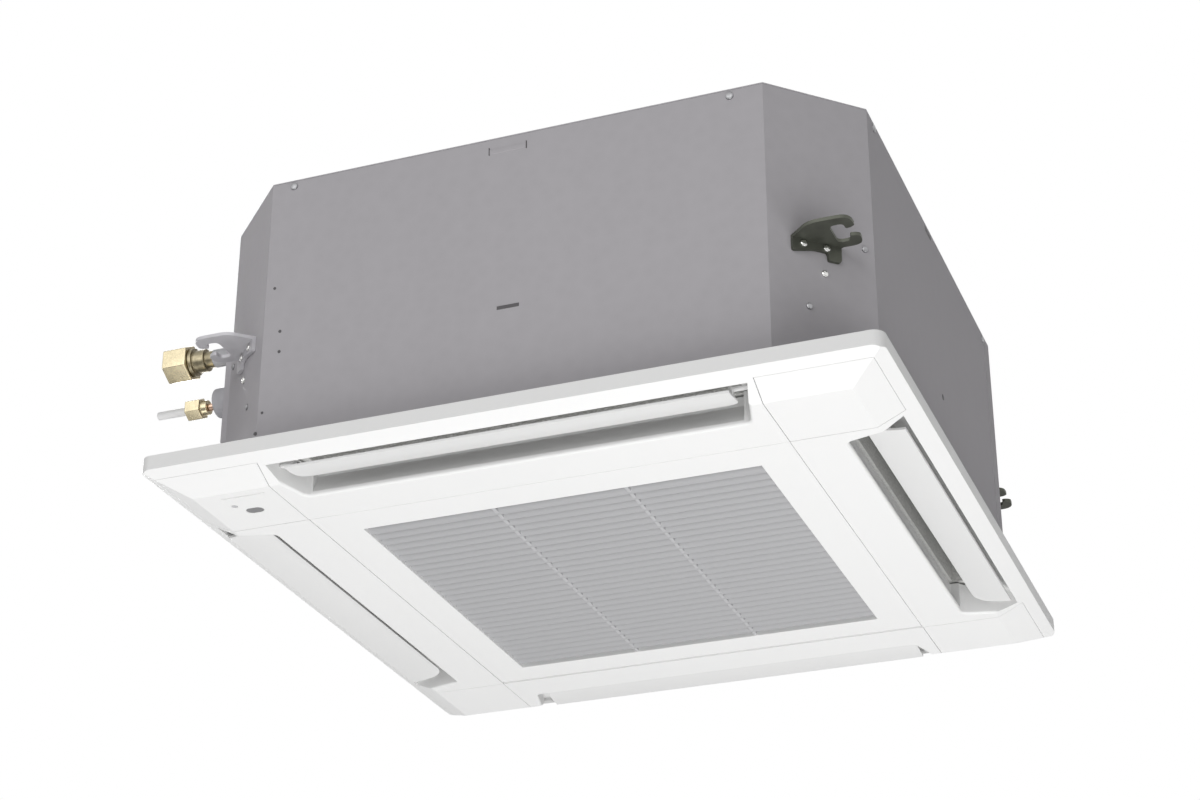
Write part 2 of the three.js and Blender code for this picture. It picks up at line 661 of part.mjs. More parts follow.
function hanger(sx, sy) {
  const [rodX, rodY] = [bodyHalf - rodInset[0], -bodyHalf + rodInset[1]];
  const onFace = (along) => {
    const far = cutFace + fit;
    return [(far + along) / Math.SQRT2, (-far + along) / Math.SQRT2, 0];
  };
  const z0 = hangerHeight;
  const z1 = hangerHeight + hangerPlate;
  const plate = prism(roundedOutline([
    onFace(-27.5), [rodX - 20, rodY - 23, 8], [rodX + 13.5, rodY - 23, 11], [rodX + 13.5, rodY + 21.5, 9],
    [rodX - 4.5, rodY + 21.5, 2], onFace(16),
  ]), z0, z1);
  const { reach, half, mouth } = rodSlot;
  const slot = prism(roundedOutline([
    [rodX - reach, rodY - half, 5], [rodX + reach, rodY - half, 4], [rodX + reach, rodY - mouth, 1.5],
    [rodX + 10.5, rodY - mouth, 3], [rodX + 20, rodY - mouth - 9.5, 0], [rodX + 20, rodY + mouth + 9.5, 0],
    [rodX + 10.5, rodY + mouth, 3], [rodX + reach, rodY + mouth, 1.5], [rodX + reach, rodY + half, 4],
    [rodX - reach, rodY + half, 5],
  ]), z0 - 1, z1 + 1);
  const flange = prism(roundedOutline([
    [-27.5, z0 - 11, 3], [-8, z0 - 6.5, 3], [3.5, z0 - 6.5, 2], [4.5, z0 - 13.5, 1], [15.5, z0 - 13.5, 3],
    [16, z1, 0], [-27.5, z1, 0],
  ]), cutFace + fit, cutFace + fit + hangerPlate);
  const diagonal = Math.SQRT1_2;
  const upright = new THREE.Matrix4().set(
    diagonal, 0, diagonal, 0,
    diagonal, 0, -diagonal, 0,
    0, 1, 0, 0,
    0, 0, 0, 1,
  );
  const body = cut(join(plate, moved(flange, upright)), slot);
  return moved(body, new THREE.Matrix4().makeScale(sx, -sy, 1));
}
for (const [sx, sy, name] of corners) part(`hanger_${name}`, hanger(sx, sy), hangerSteel);

for (const [sx, sy, name] of corners) {
  const [x, y] = [sx * screwOut, sy * screwOut];
  part(`panel_screw_${name}`, join(rod('z', screwRadius, -deck - 3, 11, x, y, 12),
    rod('z', 4.6, -deck - fit - 3.2, -deck - fit, x, y, 16)), aluminium);
}

// ---------------------------------------------------------------- drain pan
const trough = { outer: coilOuterHalf + 8, inner: coilInnerHalf - 8, floor: 40 };
const bellHole = trough.inner - 10;
const bellLedge = bellHole - 10;
const airSlot = { inner: ductInner + 2, outer: ductOuter - 6, half: outletInnerHalf - 4.5 };
const pumpAt = coilOuterHalf;
const sumpRadius = 20;
const sumpFloor = 20;

function drainPan() {
  let pan = octagon(sheet + 1, panBottom, panTop);
  const square = (half, z0, z1) => block(-half, half, -half, half, z0, z1);
  pan = cut(pan, cut(square(trough.outer, trough.floor, panTop + 1), square(trough.inner, 0, panTop + 2)));
  pan = cut(pan, square(bellHole, 0, bellPlate + 3 + fit), square(bellLedge, 0, panTop + 1));
  for (let k = 0; k < 4; k += 1) {
    pan = cut(pan, quarter(block(-airSlot.half, airSlot.half, -airSlot.outer, -airSlot.inner, 0, panTop + 1), k));
  }
  pan = cut(pan, rod('z', sumpRadius, sumpFloor, panTop + 1, -pumpAt, pumpAt, 32));
  for (const [sx, sy] of corners) {
    pan = cut(pan, rod('z', screwRadius + 1, 0, 14, sx * screwOut, sy * screwOut, 12));
  }
  return pan;
}
part('drain_pan', drainPan(), foam);

// ---------------------------------------------------------------- fan
function bellMouth() {
  const lip = 2;
  const flare = [];
  const steps = 7;
  const from = { r: bellLedge - 14, z: bellPlate };
  for (let i = 0; i <= steps; i += 1) {
    const angle = (i / steps) * (Math.PI / 2);
    flare.push([throatRadius + (from.r - throatRadius) * (1 - Math.sin(angle)),
      from.z + (throatTop - from.z) * (1 - Math.cos(angle))]);
  }
  const outer = flare.map(([r, z]) => [r + lip, z]).reverse();
  const horn = turned([...flare, ...outer, flare[0]], 48);
  const size = bellHole - fit;
  const plate = cut(block(-size, size, -size, size, bellPlate, bellPlate + 3),
    rod('z', from.r + 0.5, bellPlate - 1, bellPlate + 4, 0, 0, 48));
  return join(plate, horn);
}
part('bell_mouth', bellMouth(), blackPlastic);

const hubBore = shaftRadius + fit;
const domeFloor = motorBottom - domeGap;
const hubBottom = domeFloor - hubDepth;
const nutHeight = 10;

function turboFan() {
  const dome = motorRadius;
  const hub = turned([
    [hubBore, hubBottom], [18, hubBottom], [18, domeFloor - 3], [dome + 2, domeFloor - 1],
    [dome + 12, domeFloor + 14], [dome + 16, fanTop - 3], [fanRadius, fanTop - 3], [fanRadius, fanTop],
    [dome + 13, fanTop], [dome + 9, domeFloor + 14], [dome, domeFloor + 3], [18, domeFloor + 1],
    [18, domeFloor + 8], [hubBore, domeFloor + 8], [hubBore, hubBottom],
  ]);
  const shroudRise = 26;
  const steps = 5;
  const inner = [];
  for (let i = 0; i <= steps; i += 1) {
    const angle = (i / steps) * (Math.PI / 2);
    inner.push([fanInlet + (fanRadius - fanInlet) * (1 - Math.cos(angle)), fanBottom + shroudRise * Math.sin(angle)]);
  }
  const thickness = 2.4;
  const outerRow = inner.map(([r, z]) => [r, z + thickness]).reverse();
  outerRow[outerRow.length - 1] = [fanInlet - 0.1, fanBottom + thickness];
  const shroud = turned([...inner, ...outerRow, inner[0]]);
  const below = turned([[0, fanBottom - 2], [fanRadius + 5, fanBottom - 2], [fanRadius + 5, inner[steps][1] + 0.6],
    ...inner.slice(1).reverse().map(([r, z]) => [r, z + 0.6]), [fanInlet - 14, fanBottom + 12], [0, fanBottom + 12]]);
  let fan = hub;
  for (let i = 0; i < fanBlades; i += 1) {
    const outline = new THREE.Shape();
    const span = [fanInlet - 10, fanRadius - 1];
    const rows = 5;
    const centre = (t) => {
      const radius = span[0] + (span[1] - span[0]) * t;
      const angle = -0.62 * t ** 0.9;
      return [radius * Math.cos(angle), radius * Math.sin(angle)];
    };
    const sidesOf = (t, off) => {
      const [x0, y0] = centre(Math.max(0, t - 0.01));
      const [x1, y1] = centre(Math.min(1, t + 0.01));
      const length = Math.hypot(x1 - x0, y1 - y0);
      const [x, y] = centre(t);
      return [x - (off * (y1 - y0)) / length, y + (off * (x1 - x0)) / length];
    };
    const row = (off) => Array.from({ length: rows + 1 }, (_, j) => sidesOf(j / rows, off));
    const points = [...row(1.4), ...row(-1.4).reverse()];
    points.forEach(([x, y], j) => (j ? outline.lineTo(x, y) : outline.moveTo(x, y)));
    const blade = prism(outline, fanBottom, fanTop - 1);
    const turn = new THREE.Matrix4().makeRotationZ((i * 2 * Math.PI) / fanBlades);
    fan = join(fan, moved(cut(blade, below), turn));
  }
  return join(fan, shroud);
}
part('turbo_fan', turboFan(), greyPlastic);

const nutTop = hubBottom - fit;
const shaftBottom = nutTop - nutHeight - 2;
part('fan_shaft', rod('z', shaftRadius, shaftBottom, motorBottom - fit, 0, 0), aluminium);
const nut = new THREE.CylinderGeometry(10, 10, nutHeight, 6).rotateX(Math.PI / 2).translate(0, 0, nutTop - nutHeight / 2);
part('fan_nut', cut(solid(nut), rod('z', hubBore, nutTop - nutHeight - 1, nutTop + 1, 0, 0)), brass);

const flangeRadius = 74;
const mountGap = 5;
part('fan_motor', turned([
  [0, motorBottom], [16, motorBottom], [18, motorBottom + 4], [motorRadius - 8, motorBottom + 6],
  [motorRadius, motorBottom + 14], [motorRadius, motorTop - 4], [flangeRadius, motorTop - 4],
  [flangeRadius, motorTop], [0, motorTop],
], 40), motorGrey);

function motorBracket() {
  const z0 = motorTop + fit;
  const roof = bodyHeight - sheet - fit;
  let bracket = rod('z', flangeRadius + 12, z0, z0 + 3, 0, 0, 40);
  for (let i = 0; i < 4; i += 1) {
    const angle = (i * Math.PI) / 2;
    const [x, y] = [Math.cos(angle) * flangeRadius, Math.sin(angle) * flangeRadius];
    bracket = join(bracket, rod('z', mountGap + 3, z0 + 2, roof, x, y, 16));
  }
  return bracket;
}
part('motor_bracket', motorBracket(), steel);

// ---------------------------------------------------------------- coil
const coilBottom = trough.floor + fit;
const coilTop = linerRoof - linerTop - coilRoofGap;

function coil() {
  const outer = coilOuterHalf;
  const inner = coilInnerHalf;
  const open = outer - coilOpening;
  const bend = outer - coilCorner;
  const small = coilCorner - coilDepth;
  const shape = new THREE.Shape();
  shape.moveTo(-open, -outer);
  shape.absarc(bend, -bend, coilCorner, -Math.PI / 2, 0);
  shape.absarc(bend, bend, coilCorner, 0, Math.PI / 2);
  shape.absarc(-bend, bend, coilCorner, Math.PI / 2, Math.PI);
  shape.lineTo(-outer, -open);
  shape.lineTo(-inner, -open);
  shape.absarc(-bend, bend, small, Math.PI, Math.PI / 2, true);
  shape.absarc(bend, bend, small, Math.PI / 2, 0, true);
  shape.absarc(bend, -bend, small, 0, -Math.PI / 2, true);
  shape.lineTo(-open, -inner);
  return prism(shape, coilBottom, coilTop, 6);
}
part('heat_exchanger', coil(), aluminium);

const coilEnd = coilOuterHalf - coilOpening;
const gasHeader = { x: -coilOuterHalf + 30, radius: 9, z0: coilBottom + 21.7, z1: coilTop - 13.3 };
const gasFeeders = 4;
const feederInset = 15;
const liquidHeader = { x: -coilOuterHalf + 7, radius: 4.5, z0: liquidHeight - 36, z1: liquidHeight + 28 };
const gasEnd = -bodyHalf - pipeReach;
const liquidEnd = gasEnd - 2.3;

function gasPipe() {
  let pipe = join(rod('z', gasHeader.radius, gasHeader.z0, gasHeader.z1, gasHeader.x, pipeY),
    rod('x', gasRadius, gasEnd, gasHeader.x, pipeY, gasHeight));
  const [lowest, highest] = [gasHeader.z0 + feederInset, gasHeader.z1 - feederInset];
  for (let i = 0; i < gasFeeders; i += 1) {
    const z = lowest + ((highest - lowest) * i) / (gasFeeders - 1);
    pipe = join(pipe, rod('x', 3.5, gasHeader.x, -coilEnd - fit, pipeY, z, 12));
  }
  return pipe;
}

function liquidPipe() {
  let pipe = join(rod('z', liquidHeader.radius, liquidHeader.z0, liquidHeader.z1, liquidHeader.x, pipeY, 16),
    rod('x', liquidRadius, liquidEnd, liquidHeader.x, pipeY, liquidHeight, 16));
  for (const z of [liquidHeight - 24, liquidHeight + 16]) {
    pipe = join(pipe, rod('y', 2.5, pipeY, -coilEnd - fit, liquidHeader.x, z, 12));
  }
  return pipe;
}
part('gas_pipe', gasPipe(), copper);
part('liquid_pipe', liquidPipe(), copper);

const plateX = [-bodyHalf - 5.5, -bodyHalf - fit];
const plateHoles = [
  rod('x', gasRadius + fit, plateX[0] - 1, plateX[1] + 1, pipeY, gasHeight),
  rod('x', sleeveRadius + fit, plateX[0] - 1, plateX[1] + 1, pipeY, liquidHeight + 2),
];
part('pipe_plate', cut(block(...plateX, pipeY - 14.5, pipeY + 53, liquidHeight - 44, gasHeight + 13),
  ...plateHoles), steel);
part('pipe_sleeve', cut(rod('x', sleeveRadius, -bodyHalf - 18.5, -bodyHalf + 6, pipeY, liquidHeight + 2),
  rod('x', liquidRadius + fit, -bodyHalf - 23, -bodyHalf + 7, pipeY, liquidHeight, 16)), darkFoam);

const unionEnd = gasEnd - 22;
part('gas_union', join(rod('x', 7.5, gasEnd - 8, gasEnd - fit, pipeY, gasHeight),
  rod('x', 10, gasEnd - 19, gasEnd - 7.5, pipeY, gasHeight),
  rod('x', 12.5, unionEnd, gasEnd - 18.5, pipeY, gasHeight)), brass);
const nutLength = 22.9;
part('gas_flare_nut', cut(join(hexagon(29, unionEnd - nutLength, unionEnd - fit, pipeY, gasHeight)),
  rod('x', 9, unionEnd - nutLength - 1, unionEnd - nutLength + 6, pipeY, gasHeight)), brass);

part('liquid_flare_nut', join(hexagon(17, liquidEnd - 20, liquidEnd - 6, pipeY, liquidHeight),
  rod('x', 6.5, liquidEnd - 6.5, liquidEnd - fit, pipeY, liquidHeight)), brass);
part('liquid_cap', rod('x', 3.6, liquidEnd - 50, liquidEnd - 20 - fit, pipeY, liquidHeight, 16), whitePlastic);

// ---------------------------------------------------------------- drainage
const linerFace = bodyHalf - linerInset - linerWall;
const linerDiagonal = cutFace - linerInset - linerWall;
const pumpRadius = 16;
const pumpTop = 112;

// An arm from a post on the corner diagonal out to the liner's cut corner.
function cornerArm(x, y, width, z0, z1) {
  const from = Math.hypot(x, y);
  const arm = new THREE.BoxGeometry(linerDiagonal - fit - from, width, z1 - z0);
  arm.translate((linerDiagonal - fit + from) / 2, 0, (z0 + z1) / 2).rotateZ(Math.atan2(y, x));
  return solid(arm);
}

part('drain_pump', join(rod('z', pumpRadius, sumpFloor + fit, pumpTop - 30, -pumpAt, pumpAt),
  rod('z', pumpRadius - 4, pumpTop - 31, pumpTop - 10, -pumpAt, pumpAt),
  rod('z', 6, pumpTop - 11, pumpTop, -pumpAt, pumpAt, 16),
  cornerArm(-pumpAt, pumpAt, 14, pumpTop - 20, pumpTop - 17)), whitePlastic);

const hoseRadius = 8;
const hoseX = -bodyHalf + 36;
const portInner = -linerFace + 8;
const hosePath = new THREE.CatmullRomCurve3([
  [-pumpAt, pumpAt, pumpTop + fit], [-pumpAt, pumpAt, pumpTop + 26], [-pumpAt - 9, pumpAt - 12, drainHeight - 26],
  [hoseX, pumpAt - 40, drainHeight - 4], [hoseX, drainY + 22, drainHeight], [hoseX - 1, drainY + 5, drainHeight],
  [portInner + 10, drainY, drainHeight],
].map((p) => new THREE.Vector3(...p)));
const hoseSection = new THREE.Shape();
hoseSection.absarc(0, 0, hoseRadius, 0, Math.PI * 2);
const hose = new THREE.ExtrudeGeometry(hoseSection, { steps: 26, curveSegments: 5, extrudePath: hosePath });
part('pump_hose', cut(solid(hose), block(-bodyHalf, portInner + fit, 0, bodyHalf, 0, bodyHeight),
  block(-bodyHalf, 0, 0, bodyHalf, 0, pumpTop + fit)), greyPlastic);

part('drain_port', cut(join(rod('x', drainRadius, -bodyHalf - 38, portInner, drainY, drainHeight),
  block(-bodyHalf - 3, -bodyHalf - fit, drainY - 24, drainY + 24, drainHeight - 24, drainHeight + 24)),
rod('x', drainRadius - 3, -bodyHalf - 39, portInner - 4, drainY, drainHeight)), greyPlastic);

const floatAt = coilOuterHalf - 6;
const floatRadius = 10;
const stemRadius = 3;
const stemTop = 96;
const floatBottom = 47;
part('float_stem', join(rod('z', stemRadius, trough.floor + fit, stemTop, floatAt, floatAt, 16),
  rod('z', 6, trough.floor + fit, trough.floor + fit + 3, floatAt, floatAt, 16),
  cornerArm(floatAt, floatAt, 14, stemTop - 4, stemTop)), whitePlastic);
part('float', cut(rod('z', floatRadius, floatBottom, floatBottom + 18, floatAt, floatAt),
  rod('z', stemRadius + fit, floatBottom - 1, floatBottom + 19, floatAt, floatAt, 16)), whitePlastic);

// ---------------------------------------------------------------- controls
const trayInset = 26;          // control box's ends inside the bell mouth's plate
const trayEnd = bellHole - trayInset;
const tray = { x0: -bellHole + 4, x1: -bellHole + 64, y0: -trayEnd, y1: trayEnd, bottom: 6, top: bellPlate - fit };
const terminals = { y0: tray.y1 - 90, y1: tray.y1 - 14 };
const board = { y0: tray.y0 + 10, y1: terminals.y0 - 16, top: tray.top - sheet - 5.8, thickness: 1.7 };

function controlBox() {
  const { x0, x1, y0, y1, bottom, top } = tray;
  const inner = top - sheet;
  let box = cut(block(x0, x1, y0, y1, bottom, top),
    block(x0 + sheet, x1 - sheet, y0 + sheet, y1 - sheet, bottom - 1, inner));
  for (const x of [x0 + 8, x1 - 8]) {
    for (const y of [board.y0 + 10, board.y1 - 14]) {
      box = join(box, rod('z', 2.5, board.top + fit, inner + 0.5, x, y, 12));
    }
  }
  return box;
}
part('control_box', controlBox(), steel);
part('control_box_lid', block(tray.x0, tray.x1, tray.y0, tray.y1, tray.bottom - fit - sheet,
  tray.bottom - fit), steel);
part('control_board', block(tray.x0 + 4, tray.x1 - 4, board.y0, board.y1, board.top - board.thickness,
  board.top), boardGreen);

function terminalBlock() {
  const { y0, y1 } = terminals;
  const x = (tray.x0 + tray.x1) / 2;
  let blockBody = block(x - 16, x + 16, y0, y1, tray.bottom + 8, tray.top - sheet - fit);
  for (let i = 0; i < 5; i += 1) {
    const y = y0 + 6 + i * 14;
    blockBody = cut(blockBody, block(x - 12, x + 12, y, y + 9, tray.bottom + 7, tray.bottom + 16));
  }
  return blockBody;
}
part('terminal_block', terminalBlock(), blackPlastic);

part('cable_gland', cut(join(rod('x', glandAt.radius, -bodyHalf - 12, -bodyHalf + 16, glandAt.y, glandAt.z),
  hexagon(26, -bodyHalf - 7, -bodyHalf - fit, glandAt.y, glandAt.z)),
rod('x', 5.5, -bodyHalf - 13, -bodyHalf + 17, glandAt.y, glandAt.z)), blackPlastic);

export default unit;
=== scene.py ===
"""Finishes the pieces of a compact ceiling cassette air conditioner and sets the stage round it."""

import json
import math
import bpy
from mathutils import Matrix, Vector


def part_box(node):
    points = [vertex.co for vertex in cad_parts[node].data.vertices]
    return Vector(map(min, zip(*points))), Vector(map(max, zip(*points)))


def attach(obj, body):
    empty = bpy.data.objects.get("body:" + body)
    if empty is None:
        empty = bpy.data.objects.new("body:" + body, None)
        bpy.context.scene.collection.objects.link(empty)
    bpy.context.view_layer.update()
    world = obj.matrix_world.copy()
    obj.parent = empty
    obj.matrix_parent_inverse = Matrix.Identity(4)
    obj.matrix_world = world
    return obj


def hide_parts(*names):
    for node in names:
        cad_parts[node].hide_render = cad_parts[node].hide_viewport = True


bl_info = {
    "name": "Ceiling cassette air conditioner",
    "version": (1, 0, 0),
    "blender": (4, 5, 0),
    "location": "3D View > Sidebar > Cassette",
    "description": "Pieces, materials and stage for a four-way ceiling cassette air conditioner",
    "category": "Object",
}

import bmesh
import bpy
from mathutils import Matrix, Vector

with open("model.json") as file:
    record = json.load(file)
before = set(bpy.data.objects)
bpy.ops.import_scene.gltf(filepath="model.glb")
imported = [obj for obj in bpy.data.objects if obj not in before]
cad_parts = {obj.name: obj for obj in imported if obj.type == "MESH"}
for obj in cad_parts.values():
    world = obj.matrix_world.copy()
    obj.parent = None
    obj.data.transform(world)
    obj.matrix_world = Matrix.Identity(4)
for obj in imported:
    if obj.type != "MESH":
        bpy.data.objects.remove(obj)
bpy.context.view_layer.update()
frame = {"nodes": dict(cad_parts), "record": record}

CORNERS = {"front_right": (1, -1), "back_right": (1, 1), "back_left": (-1, 1), "front_left": (-1, -1)}
SIDES = ("front", "right", "back", "left")
SAME_HEIGHT = 1e-5  # metres within which two points count as level
CURVE_ANGLE = 40    # degrees: edges that turn less belong to a round face and aren't bevelled


# ------------------------------------------------------------------ settings
class CassetteSizes(bpy.types.PropertyGroup):
    """Sizes of the finished pieces that a user would change."""

    mould_edge: bpy.props.FloatProperty(
        name="Moulded edge", description="Rounding of the plastic panel's edges",
        default=0.0009, min=0.0, unit="LENGTH")
    mouth_edge: bpy.props.FloatProperty(
        name="Outlet edge", description="Rounding where an outlet meets the panel's flat face",
        default=0.0028, min=0.0, unit="LENGTH")
    sheet_edge: bpy.props.FloatProperty(
        name="Sheet edge", description="Rounding of the folded steel's edges",
        default=0.0009, min=0.0, unit="LENGTH")
    fine_edge: bpy.props.FloatProperty(
        name="Fine edge", description="Rounding of small fittings' edges",
        default=0.0003, min=0.0, unit="LENGTH")
    grille_border: bpy.props.FloatProperty(
        name="Grille border", description="Width of the intake grille's plain border",
        default=0.0332, min=0.01, unit="LENGTH")
    slat_pitch: bpy.props.FloatProperty(
        name="Slat pitch", description="Distance from one grille slat to the next",
        default=0.012, min=0.004, unit="LENGTH")
    slat_width: bpy.props.FloatProperty(
        name="Slat width", description="Width of one grille slat across its section",
        default=0.009, min=0.003, unit="LENGTH")
    slat_thickness: bpy.props.FloatProperty(
        name="Slat thickness", description="Thickness of one grille slat",
        default=0.0018, min=0.0005, unit="LENGTH")
    slat_bow: bpy.props.FloatProperty(
        name="Slat bow", description="How far a slat's section bows downwards and forwards",
        default=0.0018, min=0.0, unit="LENGTH")
    slat_tilt: bpy.props.FloatProperty(
        name="Slat tilt", description="Angle of the slats from level, back edge down",
        default=math.radians(-40), subtype="ANGLE")
    rib_offset: bpy.props.FloatProperty(
        name="Rib offset", description="The two ribs across the slats, each side of the middle",
        default=0.058, min=0.01, unit="LENGTH")
    screw_head: bpy.props.FloatProperty(
        name="Screw head", description="Radius of the casing's screw heads",
        default=0.0034, min=0.001, unit="LENGTH")


class CassetteColours(bpy.types.PropertyGroup):
    """Colours of the finishes."""

    panel: bpy.props.FloatVectorProperty(
        name="Panel", description="White of the moulded panel", subtype="COLOR",
        default=(0.90, 0.90, 0.895), min=0, max=1)
    slats: bpy.props.FloatVectorProperty(
        name="Slats", description="Grey of the grille's slats", subtype="COLOR",
        default=(0.45, 0.45, 0.46), min=0, max=1)
    casing: bpy.props.FloatVectorProperty(
        name="Casing", description="Grey of the coated steel casing", subtype="COLOR",
        default=(0.505, 0.490, 0.512), min=0, max=1)
    # painted shade: the hangers' dark grey stands for the shade on brackets seen in shadow
    hangers: bpy.props.FloatVectorProperty(
        name="Hangers", description="Grey of the hanger brackets", subtype="COLOR",
        default=(0.115, 0.12, 0.10), min=0, max=1)
    brass: bpy.props.FloatVectorProperty(
        name="Brass", description="Yellow of the unions and nuts", subtype="COLOR",
        default=(0.88, 0.77, 0.52), min=0, max=1)
    tube: bpy.props.FloatVectorProperty(
        name="Tube", description="Grey of the wrapped pipes", subtype="COLOR",
        default=(0.55, 0.55, 0.57), min=0, max=1)


def colours():
    return bpy.context.scene.cassette_colours


# ------------------------------------------------------------------ materials
# A pattern's scale counts its features in a metre, and a bump's distance is its depth in metres.
class Value:
    """A number that a material works out, written as a plain sum."""

    def __init__(self, finish, socket):
        self.finish = finish
        self.socket = socket

    def _sum(self, operation, first, second):
        made = self.finish.node("ShaderNodeMath", {"operation": operation}, {0: first, 1: second})
        return Value(self.finish, made.outputs[0])

    def __add__(self, other):
        return self._sum("ADD", self, other)

    __radd__ = __add__

    def __sub__(self, other):
        return self._sum("SUBTRACT", self, other)

    def __rsub__(self, other):
        return self._sum("SUBTRACT", other, self)

    def __mul__(self, other):
        return self._sum("MULTIPLY", self, other)

    __rmul__ = __mul__

    def between(self, low, high, to_low=0.0, to_high=1.0):
        """This value spread from low..high to to_low..to_high, held at both ends."""
        made = self.finish.node("ShaderNodeMapRange", {"clamp": True}, {
            "Value": self, "From Min": low, "From Max": high, "To Min": to_low, "To Max": to_high})
        return Value(self.finish, made.outputs[0])


class Finish:
    """One material's node tree, with the calls that build it."""

    COAT_ROUGHNESS = 0.1

    def __init__(self, name, roughness, metallic=0.0, coat=0.0, specular=0.5):
        self.material = bpy.data.materials.new(name)
        self.material.use_nodes = True
        self.tree = self.material.node_tree
        self.shader = self.tree.nodes["Principled BSDF"]
        self.place = self.node("ShaderNodeTexCoord").outputs["Object"]
        self.shader.inputs["Roughness"].default_value = roughness
        self.shader.inputs["Metallic"].default_value = metallic
        self.shader.inputs["Coat Weight"].default_value = coat
        self.shader.inputs["Coat Roughness"].default_value = self.COAT_ROUGHNESS
        self.shader.inputs["Specular IOR Level"].default_value = specular

    def node(self, kind, settings=None, sockets=None):
        made = self.tree.nodes.new(kind)
        for key, value in (settings or {}).items():
            setattr(made, key, value)
        for key, value in (sockets or {}).items():
            self.feed(made.inputs[key], value)
        return made

    def feed(self, socket, value):
        if isinstance(value, Value):
            value = value.socket
        if isinstance(value, bpy.types.NodeSocket):
            self.tree.links.new(value, socket)
        else:
            socket.default_value = value

    def stretched(self, along):
        """Object coordinates scaled by a factor on each axis."""
        return self.node("ShaderNodeMapping", {"vector_type": "POINT"},
                         {"Vector": self.place, "Scale": along}).outputs[0]

    def noise(self, scale, detail=2.0, roughness=0.5, along=None):
        place = self.stretched(along) if along else self.place
        made = self.node("ShaderNodeTexNoise", None, {
            "Vector": place, "Scale": scale, "Detail": detail, "Roughness": roughness})
        return Value(self, made.outputs["Fac"])

    def cells(self, scale, feature="F1"):
        made = self.node("ShaderNodeTexVoronoi", {"feature": feature},
                         {"Vector": self.place, "Scale": scale})
        return Value(self, made.outputs["Distance"])

    def waves(self, pitch, direction):
        """Bands that repeat every pitch; the texture's own scale runs 20 radians to the metre."""
        made = self.node("ShaderNodeTexWave", {"wave_type": "BANDS", "bands_direction": direction},
                         {"Vector": self.place, "Scale": math.tau / (20 * pitch)})
        return Value(self, made.outputs["Fac"])

    def underside(self):
        """How far a face looks down: 1 well below level, 0 for a wall or anything that looks up."""
        normal = self.node("ShaderNodeNewGeometry").outputs["Normal"]
        made = self.node("ShaderNodeSeparateXYZ", None, {"Vector": normal})
        return Value(self, made.outputs["Z"]).between(-0.1, -0.5)

    def mix(self, first, second, share):
        """A colour between two colours."""
        made = self.node("ShaderNodeMix", {"data_type": "RGBA"}, {0: share, 6: first, 7: second})
        return made.outputs[2]

    def colour(self, value):
        self.feed(self.shader.inputs["Base Color"], value)

    def roughness(self, value):
        self.feed(self.shader.inputs["Roughness"], value)

    def bump(self, height, distance):
        made = self.node("ShaderNodeBump", None, {
            "Height": height, "Distance": distance, "Strength": 1.0})
        self.feed(self.shader.inputs["Normal"], made.outputs[0])


def tinted(colour, factor):
    return tuple(min(1.0, channel * factor) for channel in colour[:3]) + (1.0,)


def moulded_plastic(name, colour, roughness=0.45, grain=0.00004, variation=0.015, specular=0.2):
    """Injection moulded plastic: a fine spark-eroded grain and slow changes of tone and gloss."""
    tone_scale, gloss_scale, grain_scale = 9, 38, 1900
    gloss_range = 0.14
    finish = Finish(name, roughness, specular=specular)
    darker, lighter = tinted(colour, 1 - variation), tinted(colour, 1 + variation * 0.4)
    finish.colour(finish.mix(darker, lighter, finish.noise(tone_scale, 3)))
    finish.roughness(roughness + (finish.noise(gloss_scale, 4) - 0.5) * gloss_range)
    finish.bump(finish.noise(grain_scale, 3, 0.6), grain)
    return finish.material


def coated_steel(name, colour, roughness=0.6, metallic=0.0, spangle=0.03, specular=0.06):
    """Galvanised sheet: faint zinc crystals, rolling streaks and a dulled sheen."""
    crystal_scale, streak_scale, cloud_scale, pit_scale = 95, 24, 4, 900
    pit_depth, drawn_out = 0.00003, (1, 1, 0.08)  # the streaks run up the sheet
    finish = Finish(name, roughness, metallic, specular=specular)
    crystals = finish.cells(crystal_scale)
    streaks = finish.noise(streak_scale, 3, 0.55, along=drawn_out)
    cloud = finish.noise(cloud_scale, 3)
    tone = crystals * 0.45 + streaks * 0.3 + cloud * 0.45
    darker, lighter = tinted(colour, 1 - spangle), tinted(colour, 1 + spangle)
    finish.colour(finish.mix(darker, lighter, tone.between(0.25, 0.85)))
    finish.roughness(roughness + (crystals - 0.4) * 0.16 + (cloud - 0.5) * 0.1)
    finish.bump(finish.noise(pit_scale, 2) * 0.6 + crystals * 0.4, pit_depth)
    return finish.material


def turned_metal(name, colour, roughness=0.25, tarnish=0.25, top_shade=0.0):
    """Machined metal: lathe lines, patches of tarnish and a darker brown painted as shade on all faces
    but the undersides.
    """
    patch_scale, line_scale = 120, 500
    line_depth, ringed = 0.00003, (6, 0.2, 0.2)  # the lathe's lines run round the X axis
    finish = Finish(name, roughness, metallic=1.0)
    patches = finish.noise(patch_scale, 4, 0.6)
    dull, bright, shaded_brown = tinted(colour, 1 - tarnish), tinted(colour, 1.05), tinted(colour, 0.5)
    unshaded = finish.mix(dull, bright, patches.between(0.35, 0.62))
    # painted shade: faces that don't look down are mixed towards a darker brown by top_shade
    finish.colour(finish.mix(unshaded, shaded_brown, (1.0 - finish.underside()) * top_shade))
    finish.roughness(roughness + (patches - 0.5) * -0.25)
    finish.bump(finish.noise(line_scale, 2, 0.5, along=ringed), line_depth)
    return finish.material


def foam(name, colour, beads=420, depth=0.00025):
    """Expanded foam: packed beads with fine dark seams between them."""
    cloud_scale = 14
    finish = Finish(name, 0.92, specular=0.25)
    seams = finish.cells(beads).between(0.35, 0.75)
    shade = seams * 0.7 + finish.noise(cloud_scale, 3) * 0.3
    finish.colour(finish.mix(tinted(colour, 1.0), tinted(colour, 0.86), shade))
    finish.bump(1.0 - seams, depth)
    return finish.material


